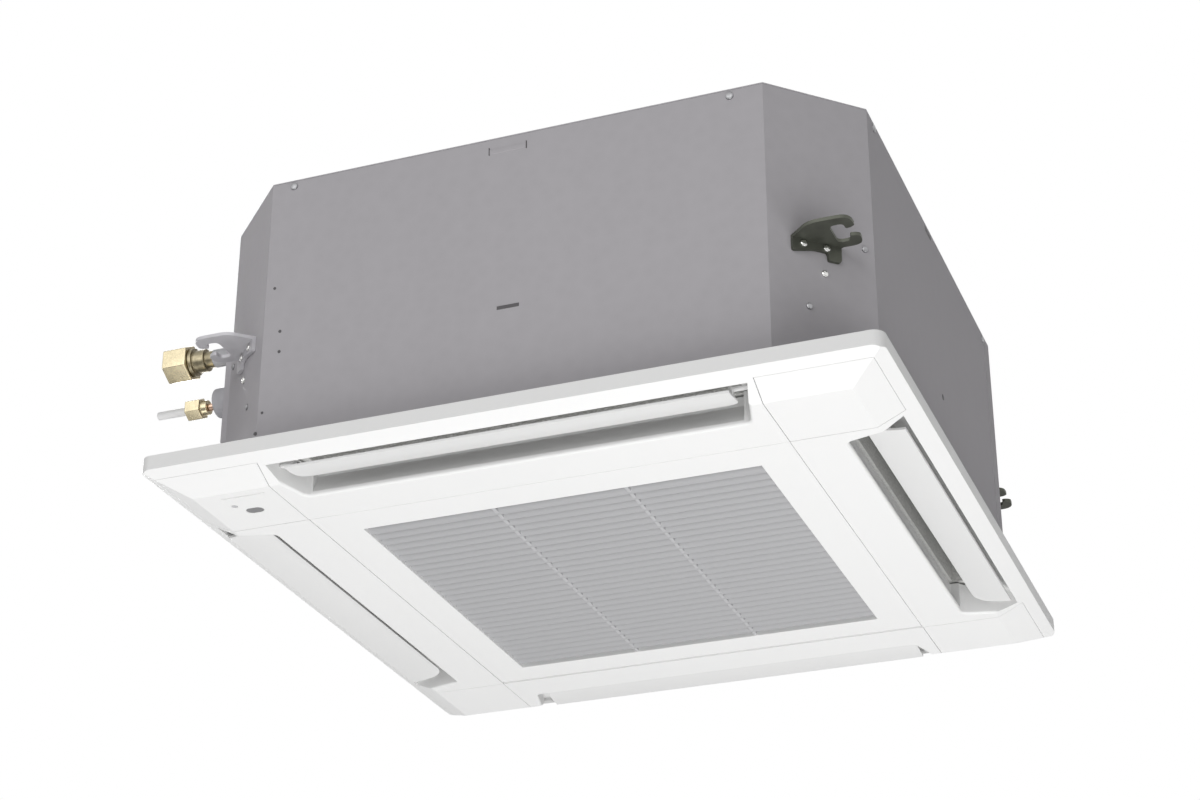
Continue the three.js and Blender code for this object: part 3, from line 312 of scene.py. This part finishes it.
def finned_metal(name, colour, pitch=0.0022, row_pitch=0.021):
    """Edge-on aluminium fins with painted shade in the gaps between them, and rows of tube bends showing
    as faint bands.
    """
    gap_depth, gloss_scale = 0.0006, 60
    finish = Finish(name, 0.42, 0.75)
    fins = finish.waves(pitch, "DIAGONAL")
    rows = finish.waves(row_pitch, "Z")
    # painted shade: the dark tone between the fin bands stands for the shade in the gaps
    finish.colour(finish.mix(tinted(colour, 0.35), tinted(colour, 1.0), fins * 0.8 + rows * 0.2))
    finish.roughness(0.36 + finish.noise(gloss_scale, 3) * 0.2)
    finish.bump(fins, gap_depth)
    return finish.material


def netting(name, colour, pitch=0.0024):
    """Woven plastic net: threads both ways, with painted shade in the holes between them."""
    hole_depth = 0.0003
    finish = Finish(name, 0.7)
    holes = (finish.waves(pitch, "X") * finish.waves(pitch, "Y")).between(0.1, 0.55)
    # painted shade: the holes are coloured dark for the shade seen through the net
    finish.colour(finish.mix(tinted(colour, 1.3), tinted(colour, 0.45), holes))
    finish.bump(1.0 - holes, hole_depth)
    return finish.material


def circuit_board(name, colour):
    """Lacquered board: narrow pale tracks over a broad darker ground."""
    track_scale, track_height = 160, 0.00005
    finish = Finish(name, 0.35, coat=0.3)
    ground = finish.cells(track_scale, feature="DISTANCE_TO_EDGE").between(0.02, 0.06)
    finish.colour(finish.mix(tinted(colour, 1.7), tinted(colour, 1.0), ground))
    finish.bump(1.0 - ground, track_height)
    return finish.material


def smoked(name, colour):
    """Smoked clear plastic: a glossy skin over a cloudy grey."""
    cloud_scale, gloss_scale, roughness = 160, 80, 0.12
    finish = Finish(name, roughness, coat=0.4, specular=0.5)
    finish.colour(finish.mix(tinted(colour, 0.9), tinted(colour, 1.15), finish.noise(cloud_scale, 2)))
    finish.roughness(roughness + finish.noise(gloss_scale, 3) * 0.06)
    return finish.material


def heat_wrap(name, colour):
    """Soft tape wrapped round a pipe: uneven laps across it and a dull skin."""
    lap_scale, skin_scale, skin_depth = 70, 600, 0.0001
    across_pipe = (3, 1, 1)
    finish = Finish(name, 0.7, specular=0.3)
    laps = finish.noise(lap_scale, 2, 0.5, along=across_pipe)
    finish.colour(finish.mix(tinted(colour, 0.9), tinted(colour, 1.06), laps))
    finish.bump(finish.noise(skin_scale, 3), skin_depth)
    return finish.material


FINISHES = {}


def finish_for(slot):
    """The material of one of the record's slots, made once."""
    if slot not in FINISHES:
        c = colours()
        black, grey = (0.022, 0.022, 0.024), (0.30, 0.30, 0.31)
        # zinc is the pale grey of the lit copy of the hanger finish: painted light
        plain_steel, zinc = (0.46, 0.46, 0.47), (0.62, 0.61, 0.635)
        makers = {
            "panel_white": lambda: moulded_plastic("moulded white", c.panel),
            "grille_grey": lambda: moulded_plastic(
                "slat grey", c.slats, roughness=0.5, grain=0.00006),
            "black_plastic": lambda: moulded_plastic(
                "moulded black", black, roughness=0.38, grain=0.00003, variation=0.2),
            "grey_plastic": lambda: moulded_plastic(
                "moulded grey", grey, roughness=0.5, grain=0.00005, variation=0.06),
            "casing_steel": lambda: coated_steel("galvanised casing", c.casing),
            # painted shade: a dark copy of the hanger finish, for brackets seen in shadow
            "hanger_steel": lambda: coated_steel(
                "shaded hanger plating", c.hangers, roughness=0.45, metallic=0.55, spangle=0.2),
            "inner_steel": lambda: coated_steel(
                "plain galvanised", plain_steel, roughness=0.42, metallic=0.6, spangle=0.08),
            "white_foam": lambda: foam("white foam", (0.80, 0.80, 0.78)),
            "dark_foam": lambda: heat_wrap("pipe insulation", (0.52, 0.515, 0.54)),
            "filter_net": lambda: netting("filter net", (0.16, 0.17, 0.18)),
            "copper": lambda: turned_metal(
                "drawn copper", (0.80, 0.56, 0.42), roughness=0.3, tarnish=0.3),
            # top_shade paints shade on the brass faces that don't look down
            "brass": lambda: turned_metal("turned brass", c.brass, top_shade=0.7),
            "aluminium": lambda: finned_metal("fins", (0.75, 0.76, 0.78)),
            "motor_paint": lambda: coated_steel(
                "motor paint", (0.05, 0.05, 0.055), roughness=0.45, metallic=0.2, spangle=0.15),
            "board": lambda: circuit_board("circuit board", (0.02, 0.11, 0.045)),
            "nickel": lambda: turned_metal(
                "bright plating", (0.72, 0.72, 0.70), roughness=0.22, tarnish=0.15),
            # painted light: a pale copy of the hanger finish, for a bracket seen lit
            "hanger_zinc": lambda: coated_steel(
                "lit hanger plating", zinc, roughness=0.45, metallic=0.2, spangle=0.08),
            "wrapped_tube": lambda: heat_wrap("pale wrap", c.tube),
        }
        FINISHES[slot] = makers[slot]()
    return FINISHES[slot]


def slot_of(node):
    for row in frame["record"]["subparts"]:
        if row["node"] == node:
            return row["material_slot"]
    raise RuntimeError(f"no slot for {node}")


def body_of(node):
    for body, nodes in frame["record"]["behaviour"]["bodies"].items():
        if node in nodes:
            return body
    raise RuntimeError(f"no body for {node}")


# ------------------------------------------------------------------ modelling
def merged(node):
    """A CAD node's mesh with its loose triangles joined and its flat faces made whole."""
    same_point, same_plane = 2e-6, math.radians(0.5)
    shape = bmesh.new()
    shape.from_mesh(frame["nodes"][node].data)
    bmesh.ops.remove_doubles(shape, verts=shape.verts, dist=same_point)
    bmesh.ops.dissolve_limit(shape, angle_limit=same_plane, verts=shape.verts, edges=shape.edges)
    return shape


def sharp_edges(shape, degrees, keep=lambda edge: True):
    """Edges that turn by more than an angle and that a test keeps."""
    angle = math.radians(degrees)
    return [edge for edge in shape.edges
            if len(edge.link_faces) == 2 and edge.calc_face_angle(0.0) > angle and keep(edge)]


def rounded(shape, edges, radius, segments=2):
    if edges and radius > 0:
        bmesh.ops.bevel(shape, geom=edges, offset=radius, segments=segments, profile=0.5,
                        affect="EDGES", material=-1, clamp_overlap=True)


def facing_down(shape, height):
    """The level faces that look down at a height."""
    return [face for face in shape.faces
            if face.normal.z < -0.99 and abs(face.calc_center_median().z - height) < SAME_HEIGHT]


def piece(name, shape, slot, body, replaces=(), finish=None):
    """Turns a bmesh into a finished piece that rides on a body."""
    smooth_below = math.radians(35)
    mesh = bpy.data.meshes.new(name)
    shape.to_mesh(mesh)
    shape.free()
    mesh.materials.append(finish or finish_for(slot))
    mesh.shade_smooth()
    mesh.set_sharp_from_angle(angle=smooth_below)
    made = bpy.data.objects.new(name, mesh)
    bpy.context.scene.collection.objects.link(made)
    weighted = made.modifiers.new("even shading", "WEIGHTED_NORMAL")
    weighted.keep_sharp = True
    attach(made, body)
    if replaces:
        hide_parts(*replaces)
    return made


def softened(node, radius, segments=2, angle=25, finish=None):
    """A node's own shape with its edges rounded."""
    shape = merged(node)
    rounded(shape, sharp_edges(shape, angle), radius, segments)
    return piece(f"{node}_finished", shape, slot_of(node), body_of(node), [node], finish)


def turned(points, steps, closed, start=0.0, same_point=1e-6):
    """A profile of (radius, height) turned once about the vertical axis, beginning at an angle."""
    shape = bmesh.new()
    turn = Matrix.Rotation(start, 3, "Z")
    verts = [shape.verts.new(turn @ Vector((radius, 0, height))) for radius, height in points]
    for first, second in zip(verts, verts[1:] + (verts[:1] if closed else [])):
        shape.edges.new((first, second))
    bmesh.ops.spin(shape, geom=shape.verts[:] + shape.edges[:], cent=(0, 0, 0), axis=(0, 0, 1),
                   angle=2 * math.pi, steps=steps, use_merge=True)
    bmesh.ops.remove_doubles(shape, verts=shape.verts, dist=same_point)
    bmesh.ops.recalc_face_normals(shape, faces=shape.faces)
    return shape


def mitred(points):
    """A closed profile of (half side, height) carried round a square."""
    corners = [(half * math.sqrt(2), height) for half, height in points]
    return turned(corners, steps=4, closed=True, start=math.pi / 4, same_point=1e-7)


def aimed(shape, axis, at):
    """Turns a shape made about +Z to face along an axis and moves it to a point."""
    turn = Vector((0, 0, 1)).rotation_difference(Vector(axis)).to_matrix().to_4x4()
    bmesh.ops.transform(shape, matrix=Matrix.Translation(Vector(at)) @ turn, verts=shape.verts)
    return shape


def add_to(shape, other):
    """Adds one bmesh's faces to another."""
    mesh = bpy.data.meshes.new("part")
    other.to_mesh(mesh)
    other.free()
    shape.from_mesh(mesh)
    bpy.data.meshes.remove(mesh)
    return shape


def screw_head(radius, height):
    """A pan head standing on the plane z = 0 and let a little way into it."""
    steps, sunk, rim = 6, 0.0004, 0.35
    profile = [(0.0, -sunk), (radius, -sunk), (radius, height * rim)]
    for i in range(1, steps):
        angle = (i / steps) * math.pi / 2
        profile.append((radius * math.cos(angle), height * (rim + (1 - rim) * math.sin(angle))))
    profile.append((0.0, height))
    return turned(profile, steps=24, closed=False)


def slab(size, at, edge):
    """A box with rounded edges, the start of small pressed details."""
    shape = bmesh.new()
    bmesh.ops.create_cube(shape, size=1.0)
    bmesh.ops.scale(shape, vec=size, verts=shape.verts)
    rounded(shape, shape.edges[:], edge)
    bmesh.ops.translate(shape, vec=at, verts=shape.verts)
    return shape


def curved_bar(length, width, thickness, bow):
    """A bar along X whose section is a shallow arc, bowed towards -Z, with pointed long edges."""
    steps = 8
    arc = [(width * (i / steps - 0.5), bow * ((2 * i / steps - 1) ** 2 - 0.5)) for i in range(steps + 1)]
    half = thickness / 2
    point = half * 0.7
    section = [(y, z - half) for y, z in arc] + [(arc[-1][0] + point, arc[-1][1])]
    section += [(y, z + half) for y, z in reversed(arc)] + [(arc[0][0] - point, arc[0][1])]
    shape = bmesh.new()
    end = shape.faces.new([shape.verts.new((-length / 2, y, z)) for y, z in section])
    grown = bmesh.ops.extrude_face_region(shape, geom=[end])["geom"]
    far_end = [v for v in grown if isinstance(v, bmesh.types.BMVert)]
    bmesh.ops.translate(shape, vec=(length, 0, 0), verts=far_end)
    bmesh.ops.recalc_face_normals(shape, faces=shape.faces)
    return shape


def disc(radius, depth):
    """A short round plug standing on z = 0."""
    shape = bmesh.new()
    bmesh.ops.create_cone(shape, cap_ends=True, segments=16, radius1=radius, radius2=radius, depth=depth)
    bmesh.ops.translate(shape, vec=(0, 0, depth / 2), verts=shape.verts)
    return shape


# ------------------------------------------------------------------ operators
class CASSETTE_OT_panel(bpy.types.Operator):
    """Makes the panel frame, its corner covers and the receiver"""

    bl_idname = "cassette.panel"
    bl_label = "Panel"
    bl_options = {"REGISTER", "UNDO"}

    def execute(self, context):
        size = context.scene.cassette_sizes
        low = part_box("panel_frame")[0].z
        mouth_near, mouth_far, mouth_half_length = 0.2440, 0.2776, 0.2035  # from the middle

        def at_mouth(edge):
            """Whether an outlet opens through the panel's flat face along this edge."""
            ends = [v.co for v in edge.verts]
            level = all(abs(end.z - low) < SAME_HEIGHT for end in ends)
            middle = (ends[0] + ends[1]) / 2
            across = max(abs(middle.x), abs(middle.y))
            along = min(abs(middle.x), abs(middle.y))
            return level and mouth_near < across < mouth_far and along < mouth_half_length

        shape = merged("panel_frame")
        rounded(shape, sharp_edges(shape, 40, at_mouth), size.mouth_edge, 4)
        rounded(shape, sharp_edges(shape, 20), size.mould_edge)
        piece("panel_frame_finished", shape, "panel_white", "unit", ["panel_frame"])
        for corner in CORNERS:
            if corner != "front_left":
                softened(f"corner_cover_{corner}", size.mould_edge)
        self.receiver_cover(size)
        softened("receiver_housing", size.fine_edge)
        smoke = smoked("smoked window", (0.27, 0.27, 0.275))
        softened("receiver_window", size.fine_edge, finish=smoke)
        button_grey = moulded_plastic("button grey", (0.56, 0.56, 0.57))
        softened("test_button", size.fine_edge, finish=button_grey)
        return {"FINISHED"}

    def receiver_cover(self, size):
        """The front left cover, with a fine groove moulded beside its receiver."""
        node = "corner_cover_front_left"
        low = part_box(node)[0].z
        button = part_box("test_button")[0]
        left, right = button.x - 0.0018, button.x + 0.0378
        front, back = button.y - 0.0140, button.y - 0.0127
        depth = 0.0008
        along_x, along_y = (1.0, 0.0, 0.0), (0.0, 1.0, 0.0)
        cuts = ((left, along_x), (right, along_x), (front, along_y), (back, along_y))
        shape = merged(node)
        for place, across in cuts:
            faces = facing_down(shape, low)
            geom = set(faces)
            for face in faces:
                geom.update(face.edges)
                geom.update(face.verts)
            bmesh.ops.bisect_plane(shape, geom=list(geom), dist=1e-7,
                                   plane_co=[place] * 3, plane_no=across)
        strip = [face for face in facing_down(shape, low)
                 if left < face.calc_center_median().x < right
                 and front < face.calc_center_median().y < back]
        raised = bmesh.ops.extrude_face_region(shape, geom=strip)["geom"]
        moved = [v for v in raised if isinstance(v, bmesh.types.BMVert)]
        bmesh.ops.translate(shape, vec=(0, 0, depth), verts=moved)
        bmesh.ops.delete(shape, geom=strip, context="FACES")
        rounded(shape, sharp_edges(shape, 25), size.fine_edge * 0.9)
        piece(f"{node}_finished", shape, slot_of(node), body_of(node), [node])


class CASSETTE_OT_outlets(bpy.types.Operator):
    """Makes the four flaps and their motors"""

    bl_idname = "cassette.outlets"
    bl_label = "Outlets"
    bl_options = {"REGISTER", "UNDO"}

    def execute(self, context):
        size = context.scene.cassette_sizes
        dulled = 0.88  # the flaps are painted a little darker than the panel: painted shade
        shaded_flap_finish = moulded_plastic("shaded flap white", tinted(colours().panel, dulled)[:3])
        for side in SIDES:
            softened(f"flap_{side}", size.fine_edge * 2, 3, finish=shaded_flap_finish)
            softened(f"flap_motor_{side}", size.fine_edge * 1.5)
        return {"FINISHED"}


class CASSETTE_OT_grille(bpy.types.Operator):
    """Makes the intake grille's frame, slats and ribs, its filter, pins and catches"""

    bl_idname = "cassette.grille"
    bl_label = "Intake grille"
    bl_options = {"REGISTER", "UNDO"}

    def execute(self, context):
        size = context.scene.cassette_sizes
        low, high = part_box("intake_grille")
        depth, wall, lining, lining_depth = 0.0125, 0.0025, 0.002, 0.0079
        hinge_rounding = 0.0039  # lets the back edge swing clear of the panel
        half, floor = high.x, low.z
        top, roof = floor + depth, floor + lining_depth
        window = half - size.grille_border
        frame_shape = mitred([
            (window, floor), (half, floor), (half, top), (half - wall, top), (half - wall, floor + wall),
            (window + lining, floor + wall), (window + lining, roof), (window, roof)])
        back = [e for e in frame_shape.edges
                if all(v.co.y > half - SAME_HEIGHT and v.co.z < floor + SAME_HEIGHT for v in e.verts)]
        rounded(frame_shape, back, hinge_rounding, 5)
        rounded(frame_shape, sharp_edges(frame_shape, 40), size.mould_edge * 0.6)
        piece("grille_frame", frame_shape, "panel_white", "grille", ["intake_grille"])

        inside = 2 * window + 0.001  # reaches half a millimetre into the frame at each end
        count = int(2 * window / size.slat_pitch)
        slat_height, tilt = floor + 0.004, Matrix.Rotation(size.slat_tilt, 3, "X")
        slats = bmesh.new()
        for i in range(count):
            slat = curved_bar(inside, size.slat_width, size.slat_thickness, size.slat_bow)
            bmesh.ops.rotate(slat, matrix=tilt, verts=slat.verts)
            back_by = (i - (count - 1) / 2) * size.slat_pitch
            bmesh.ops.translate(slat, verts=slat.verts, vec=(0, back_by, slat_height))
            add_to(slats, slat)
        piece("grille_slats", slats, "grille_grey", "grille")
        rib_width, rib_depth, rib_height, rib_edge = 0.0036, 0.0062, floor + 0.0045, 0.0010
        ribs = bmesh.new()
        for side in (-1, 1):
            place = (side * size.rib_offset, 0, rib_height)
            add_to(ribs, slab((rib_width, inside, rib_depth), place, rib_edge))
        # painted light: the ribs are the slats' grey made 15% lighter
        lit_rib_grey = moulded_plastic("lit rib grey", tinted(colours().slats, 1.15)[:3],
                                   roughness=0.5, grain=0.00006)
        piece("grille_ribs", ribs, "grille_grey", "grille", finish=lit_rib_grey)
        softened("air_filter", size.fine_edge)
        for side in ("left", "right"):
            softened(f"grille_pin_{side}", size.fine_edge)
            softened(f"push_catch_{side}", size.fine_edge)
        return {"FINISHED"}


class CASSETTE_OT_casing(bpy.types.Operator):
    """Makes the steel casing with its top plate, screws, and dark marks painted as the shade inside its
    punched holes and slots
    """

    bl_idname = "cassette.casing"
    bl_label = "Casing"
    bl_options = {"REGISTER", "UNDO"}

    def execute(self, context):
        size = context.scene.cassette_sizes
        softened("casing_wall", size.sheet_edge, 3)
        softened("top_plate", size.sheet_edge * 0.5)
        softened("foam_liner", size.sheet_edge)
        for corner in CORNERS:
            softened(f"panel_screw_{corner}", size.fine_edge)
        self.marks()
        self.screws(size)
        return {"FINISHED"}

    def marks(self):
        """Dark discs and slabs painted as the shade inside punched holes and slots, then a pressed tab
        and the folded seam of the sheet.
        """
        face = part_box("casing_wall")[0].y
        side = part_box("casing_wall")[1].x
        front_holes = (  # x, z, radius
            (-0.210, 0.150, 0.0013), (-0.2025, 0.108, 0.0014), (-0.202, 0.089, 0.0014),
            (-0.214, 0.035, 0.0012), (-0.219, 0.017, 0.0016))
        proud, thin, edge = 0.00035, 0.0007, 0.0003
        marks = bmesh.new()
        for x, z, radius in front_holes:
            add_to(marks, aimed(disc(radius, proud), (0, -1, 0), (x, face, z)))
        side_hole = disc(0.0026, proud)
        add_to(marks, aimed(side_hole, (1, 0, 0), (side, -0.0013, 0.0936)))
        front_slot = slab((0.0192, thin, 0.0032), (0.0012, face, 0.0915), edge)
        add_to(marks, front_slot)
        side_slot = slab((thin, 0.020, 0.0045), (side, -0.017, 0.2475), edge)
        add_to(marks, side_slot)
        for tab_end in (-0.018, 0.015):
            add_to(marks, slab((0.0009, 0.0013, 0.0072), (tab_end, face, 0.2405), edge))
        # painted shade: the holes and slots are dark grey pieces standing a little proud of the sheet,
        # with no opening behind them
        hole_shade_grey = moulded_plastic("painted hole shade", (0.13, 0.125, 0.13), roughness=0.5)
        piece("painted_hole_shades", marks, "black_plastic", "unit", finish=hole_shade_grey)

        seams = bmesh.new()
        front_tab = slab((0.033, thin, 0.0042), (-0.0015, face, 0.2400), edge)
        add_to(seams, front_tab)
        side_seam = slab((0.0009, 0.0050, 0.185), (side, 0.1995, 0.1545), 0.0004)
        add_to(seams, side_seam)
        piece("pressed_tabs", seams, "casing_steel", "unit")

    def screws(self, size):
        """Pan head screws round the top flange and on the cut corners."""
        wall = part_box("casing_wall")[1].y
        flange_screws = ((-0.1977, 0.2465), (0.1903, 0.2460))  # x, z
        corner_screws = ((0.2788, 0.2242, 0.119), (0.2420, 0.2610, 0.0564))  # x, y, z
        flange_head, corner_head = (size.screw_head, 0.0019), (size.screw_head * 0.8, 0.0018)
        heads = bmesh.new()
        for turns in range(4):
            turn = Matrix.Rotation(turns * math.pi / 2, 4, "Z")
            for x, z in flange_screws:
                head = aimed(screw_head(*flange_head), (0, -1, 0), (x, -wall, z))
                bmesh.ops.transform(head, matrix=turn, verts=head.verts)
                add_to(heads, head)
        for sx, sy in CORNERS.values():
            out = Vector((sx, sy, 0)).normalized()
            for x, y, z in corner_screws:
                add_to(heads, aimed(screw_head(*corner_head), out, (sx * x, sy * y, z)))
        dull_zinc = turned_metal("dull zinc", (0.36, 0.36, 0.37), roughness=0.4, tarnish=0.3)
        piece("casing_screws", heads, "nickel", "unit", finish=dull_zinc)


class CASSETTE_OT_hangers(bpy.types.Operator):
    """Makes the four hanger brackets and their screws"""

    bl_idname = "cassette.hangers"
    bl_label = "Hangers"
    bl_options = {"REGISTER", "UNDO"}

    def execute(self, context):
        size = context.scene.cassette_sizes
        half_cut = 0.0335  # half of what the cut corner takes off each side
        diagonal = math.sqrt(2)
        cut_face = (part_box("casing_wall")[1].x - half_cut) * diagonal
        bracket = 0.0033  # how far the bracket's foot stands off the cut face
        screws = (  # out from the cut face, along it, up
            (bracket, -0.0178, 0.1094), (bracket, 0.0023, 0.1094), (0.0, 0.0015, 0.0883))
        head_radius, head_height = 0.0030, 0.0021
        for corner, (sx, sy) in CORNERS.items():
            softened(f"hanger_{corner}", size.fine_edge * 2.2, 3)
            heads = bmesh.new()
            for out, along, height in screws:
                far = cut_face + out
                place = (sx * (far + along) / diagonal, sy * (far - along) / diagonal, height)
                head = screw_head(head_radius, head_height)
                add_to(heads, aimed(head, (sx, sy, 0), place))
            piece(f"hanger_screws_{corner}", heads, "nickel", "unit")
        return {"FINISHED"}


class CASSETTE_OT_pipes(bpy.types.Operator):
    """Makes the pipe plate, pipes, unions, nuts, drain port and cable gland"""

    bl_idname = "cassette.pipes"
    bl_label = "Pipes"
    bl_options = {"REGISTER", "UNDO"}

    def execute(self, context):
        size = context.scene.cassette_sizes
        softened("pipe_plate", size.fine_edge)
        softened("gas_pipe", size.fine_edge, angle=CURVE_ANGLE)
        softened("liquid_pipe", size.fine_edge, angle=CURVE_ANGLE)
        softened("pipe_sleeve", size.sheet_edge, 3, angle=CURVE_ANGLE)
        # the union is a darker brass than the nuts with patchy tarnish, and top_shade paints shade on
        # its faces that don't look down
        darker_brass = turned_metal("darker brass", tinted(colours().brass, 0.55)[:3],
                                  roughness=0.35, tarnish=0.5, top_shade=0.6)
        softened("gas_union", size.fine_edge * 1.5, angle=CURVE_ANGLE, finish=darker_brass)
        softened("gas_flare_nut", size.fine_edge * 3)
        softened("liquid_flare_nut", size.fine_edge * 2)
        softened("liquid_cap", size.fine_edge * 3, 3, angle=CURVE_ANGLE)
        softened("drain_port", size.fine_edge * 2, angle=CURVE_ANGLE)
        softened("cable_gland", size.fine_edge * 2)
        return {"FINISHED"}


class CASSETTE_OT_inside(bpy.types.Operator):
    """Makes the fan, motor, heat exchanger, drainage and controls inside the casing"""

    bl_idname = "cassette.inside"
    bl_label = "Inside"
    bl_options = {"REGISTER", "UNDO"}

    def execute(self, context):
        size = context.scene.cassette_sizes
        for node in ("drain_pan", "bell_mouth", "heat_exchanger", "motor_bracket", "fan_motor",
                     "turbo_fan", "fan_shaft", "fan_nut", "drain_pump", "pump_hose", "float_stem",
                     "float", "control_box", "control_box_lid", "control_board", "terminal_block"):
            softened(node, size.fine_edge, angle=CURVE_ANGLE)
        return {"FINISHED"}


class CASSETTE_OT_stage(bpy.types.Operator):
    """Sets the pale floor, the lamps, the sky and the camera"""

    bl_idname = "cassette.stage"
    bl_label = "Stage"
    bl_options = {"REGISTER", "UNDO"}

    def execute(self, context):
        context.scene.view_settings.view_transform = "Standard"
        self.floor()
        self.lamp("under lamp", place=(0.42, -0.45, -1.75), target=(0.0, 0.0, 0.0),
                  width=3.4, height=3.2, power=59)
        self.lamp("front lamp", place=(-0.30, -3.05, 0.85), target=(0.0, 0.0, 0.1),
                  width=3.4, height=2.4, power=37)
        self.lamp("back lamp", place=(-1.9, 2.1, 1.5), target=(0.0, 0.0, 0.15),
                  width=1.6, height=1.6, power=10, spread=50)
        self.sky()
        self.camera()
        return {"FINISHED"}

    def floor(self):
        """A pale floor, out of the camera's sight, that throws light back up."""
        depth, half = -2.2, 6
        shape = bmesh.new()
        bmesh.ops.create_grid(shape, x_segments=1, y_segments=1, size=half)
        bmesh.ops.translate(shape, vec=(0, 0, depth), verts=shape.verts)
        mesh = bpy.data.meshes.new("floor")
        shape.to_mesh(mesh)
        shape.free()
        ground = bpy.data.objects.new("floor", mesh)
        bpy.context.scene.collection.objects.link(ground)
        pale = Finish("pale floor", 0.9, specular=0.2)
        pale.colour(pale.mix((0.84, 0.84, 0.84, 1), (0.88, 0.88, 0.88, 1), pale.noise(2)))
        mesh.materials.append(pale.material)
        ground.visible_camera = False

    def camera(self):
        """The photograph's camera: a long lens below the unit, looking up and to the left."""
        lens = bpy.data.cameras.new("photo camera")
        lens.lens = 75.0
        lens.sensor_width = 36.0
        lens.clip_start = 0.05
        lens.clip_end = 50
        camera = bpy.data.objects.new("photo camera", lens)
        bpy.context.scene.collection.objects.link(camera)
        azimuth, elevation = math.radians(-20.84), math.radians(26.84)
        ahead = Vector((math.sin(azimuth) * math.cos(elevation),
                        math.cos(azimuth) * math.cos(elevation),
                        math.sin(elevation)))
        camera.location = (0.6886, -1.8848, -0.8723)
        camera.rotation_euler = ahead.to_track_quat("-Z", "Y").to_euler()
        bpy.context.scene.camera = camera

    def lamp(self, name, place, target, width, height, power, spread=180):
        """A soft box of a width and height in metres, its power in watts, out of the camera's sight."""
        light = bpy.data.lights.new(name, "AREA")
        light.spread = math.radians(spread)
        light.shape = "RECTANGLE"
        light.size = width
        light.size_y = height
        light.energy = power
        lamp = bpy.data.objects.new(name, light)
        lamp.location = place
        aim = Vector(target) - Vector(place)
        lamp.rotation_euler = aim.to_track_quat("-Z", "Y").to_euler()
        lamp.visible_camera = False
        bpy.context.scene.collection.objects.link(lamp)

    def sky(self):
        """White to the camera, in mirrors and through glass, and a dim even light on everything else."""
        dim, white = 0.15, 1.0
        world = bpy.data.worlds.new("studio")
        bpy.context.scene.world = world
        world.use_nodes = True
        nodes, links = world.node_tree.nodes, world.node_tree.links
        ground = nodes["Background"]
        ground.inputs["Color"].default_value = (1, 1, 1, 1)
        path = nodes.new("ShaderNodeLightPath")
        seen = nodes.new("ShaderNodeMath")
        seen.operation = "MAXIMUM"
        links.new(path.outputs["Is Camera Ray"], seen.inputs[0])
        links.new(path.outputs["Is Glossy Ray"], seen.inputs[1])
        clear = nodes.new("ShaderNodeMath")
        clear.operation = "MAXIMUM"
        links.new(seen.outputs[0], clear.inputs[0])
        links.new(path.outputs["Is Transmission Ray"], clear.inputs[1])
        level = nodes.new("ShaderNodeMapRange")
        level.inputs["To Min"].default_value = dim
        level.inputs["To Max"].default_value = white
        links.new(clear.outputs[0], level.inputs["Value"])
        links.new(level.outputs[0], ground.inputs["Strength"])


class CASSETTE_PT_panel(bpy.types.Panel):
    """Lists the cassette's sizes, colours and operators"""

    bl_label = "Cassette"
    bl_idname = "CASSETTE_PT_panel"
    bl_space_type = "VIEW_3D"
    bl_region_type = "UI"
    bl_category = "Cassette"

    def draw(self, context):
        for group in (context.scene.cassette_sizes, context.scene.cassette_colours):
            box = self.layout.box()
            for key in group.__annotations__:
                box.prop(group, key)
        for operator in OPERATORS:
            self.layout.operator(operator.bl_idname)


OPERATORS = (CASSETTE_OT_panel, CASSETTE_OT_outlets, CASSETTE_OT_grille, CASSETTE_OT_casing,
             CASSETTE_OT_hangers, CASSETTE_OT_pipes, CASSETTE_OT_inside, CASSETTE_OT_stage)
CLASSES = (CassetteSizes, CassetteColours, *OPERATORS, CASSETTE_PT_panel)


def register():
    for cls in CLASSES:
        bpy.utils.register_class(cls)
    bpy.types.Scene.cassette_sizes = bpy.props.PointerProperty(type=CassetteSizes)
    bpy.types.Scene.cassette_colours = bpy.props.PointerProperty(type=CassetteColours)


def unregister():
    del bpy.types.Scene.cassette_colours
    del bpy.types.Scene.cassette_sizes
    for cls in reversed(CLASSES):
        bpy.utils.unregister_class(cls)


def main():
    register()
    bpy.ops.cassette.panel()
    bpy.ops.cassette.outlets()
    bpy.ops.cassette.grille()
    bpy.ops.cassette.casing()
    bpy.ops.cassette.hangers()
    bpy.ops.cassette.pipes()
    bpy.ops.cassette.inside()
    bpy.ops.cassette.stage()


if __name__ == "__main__":
    main()
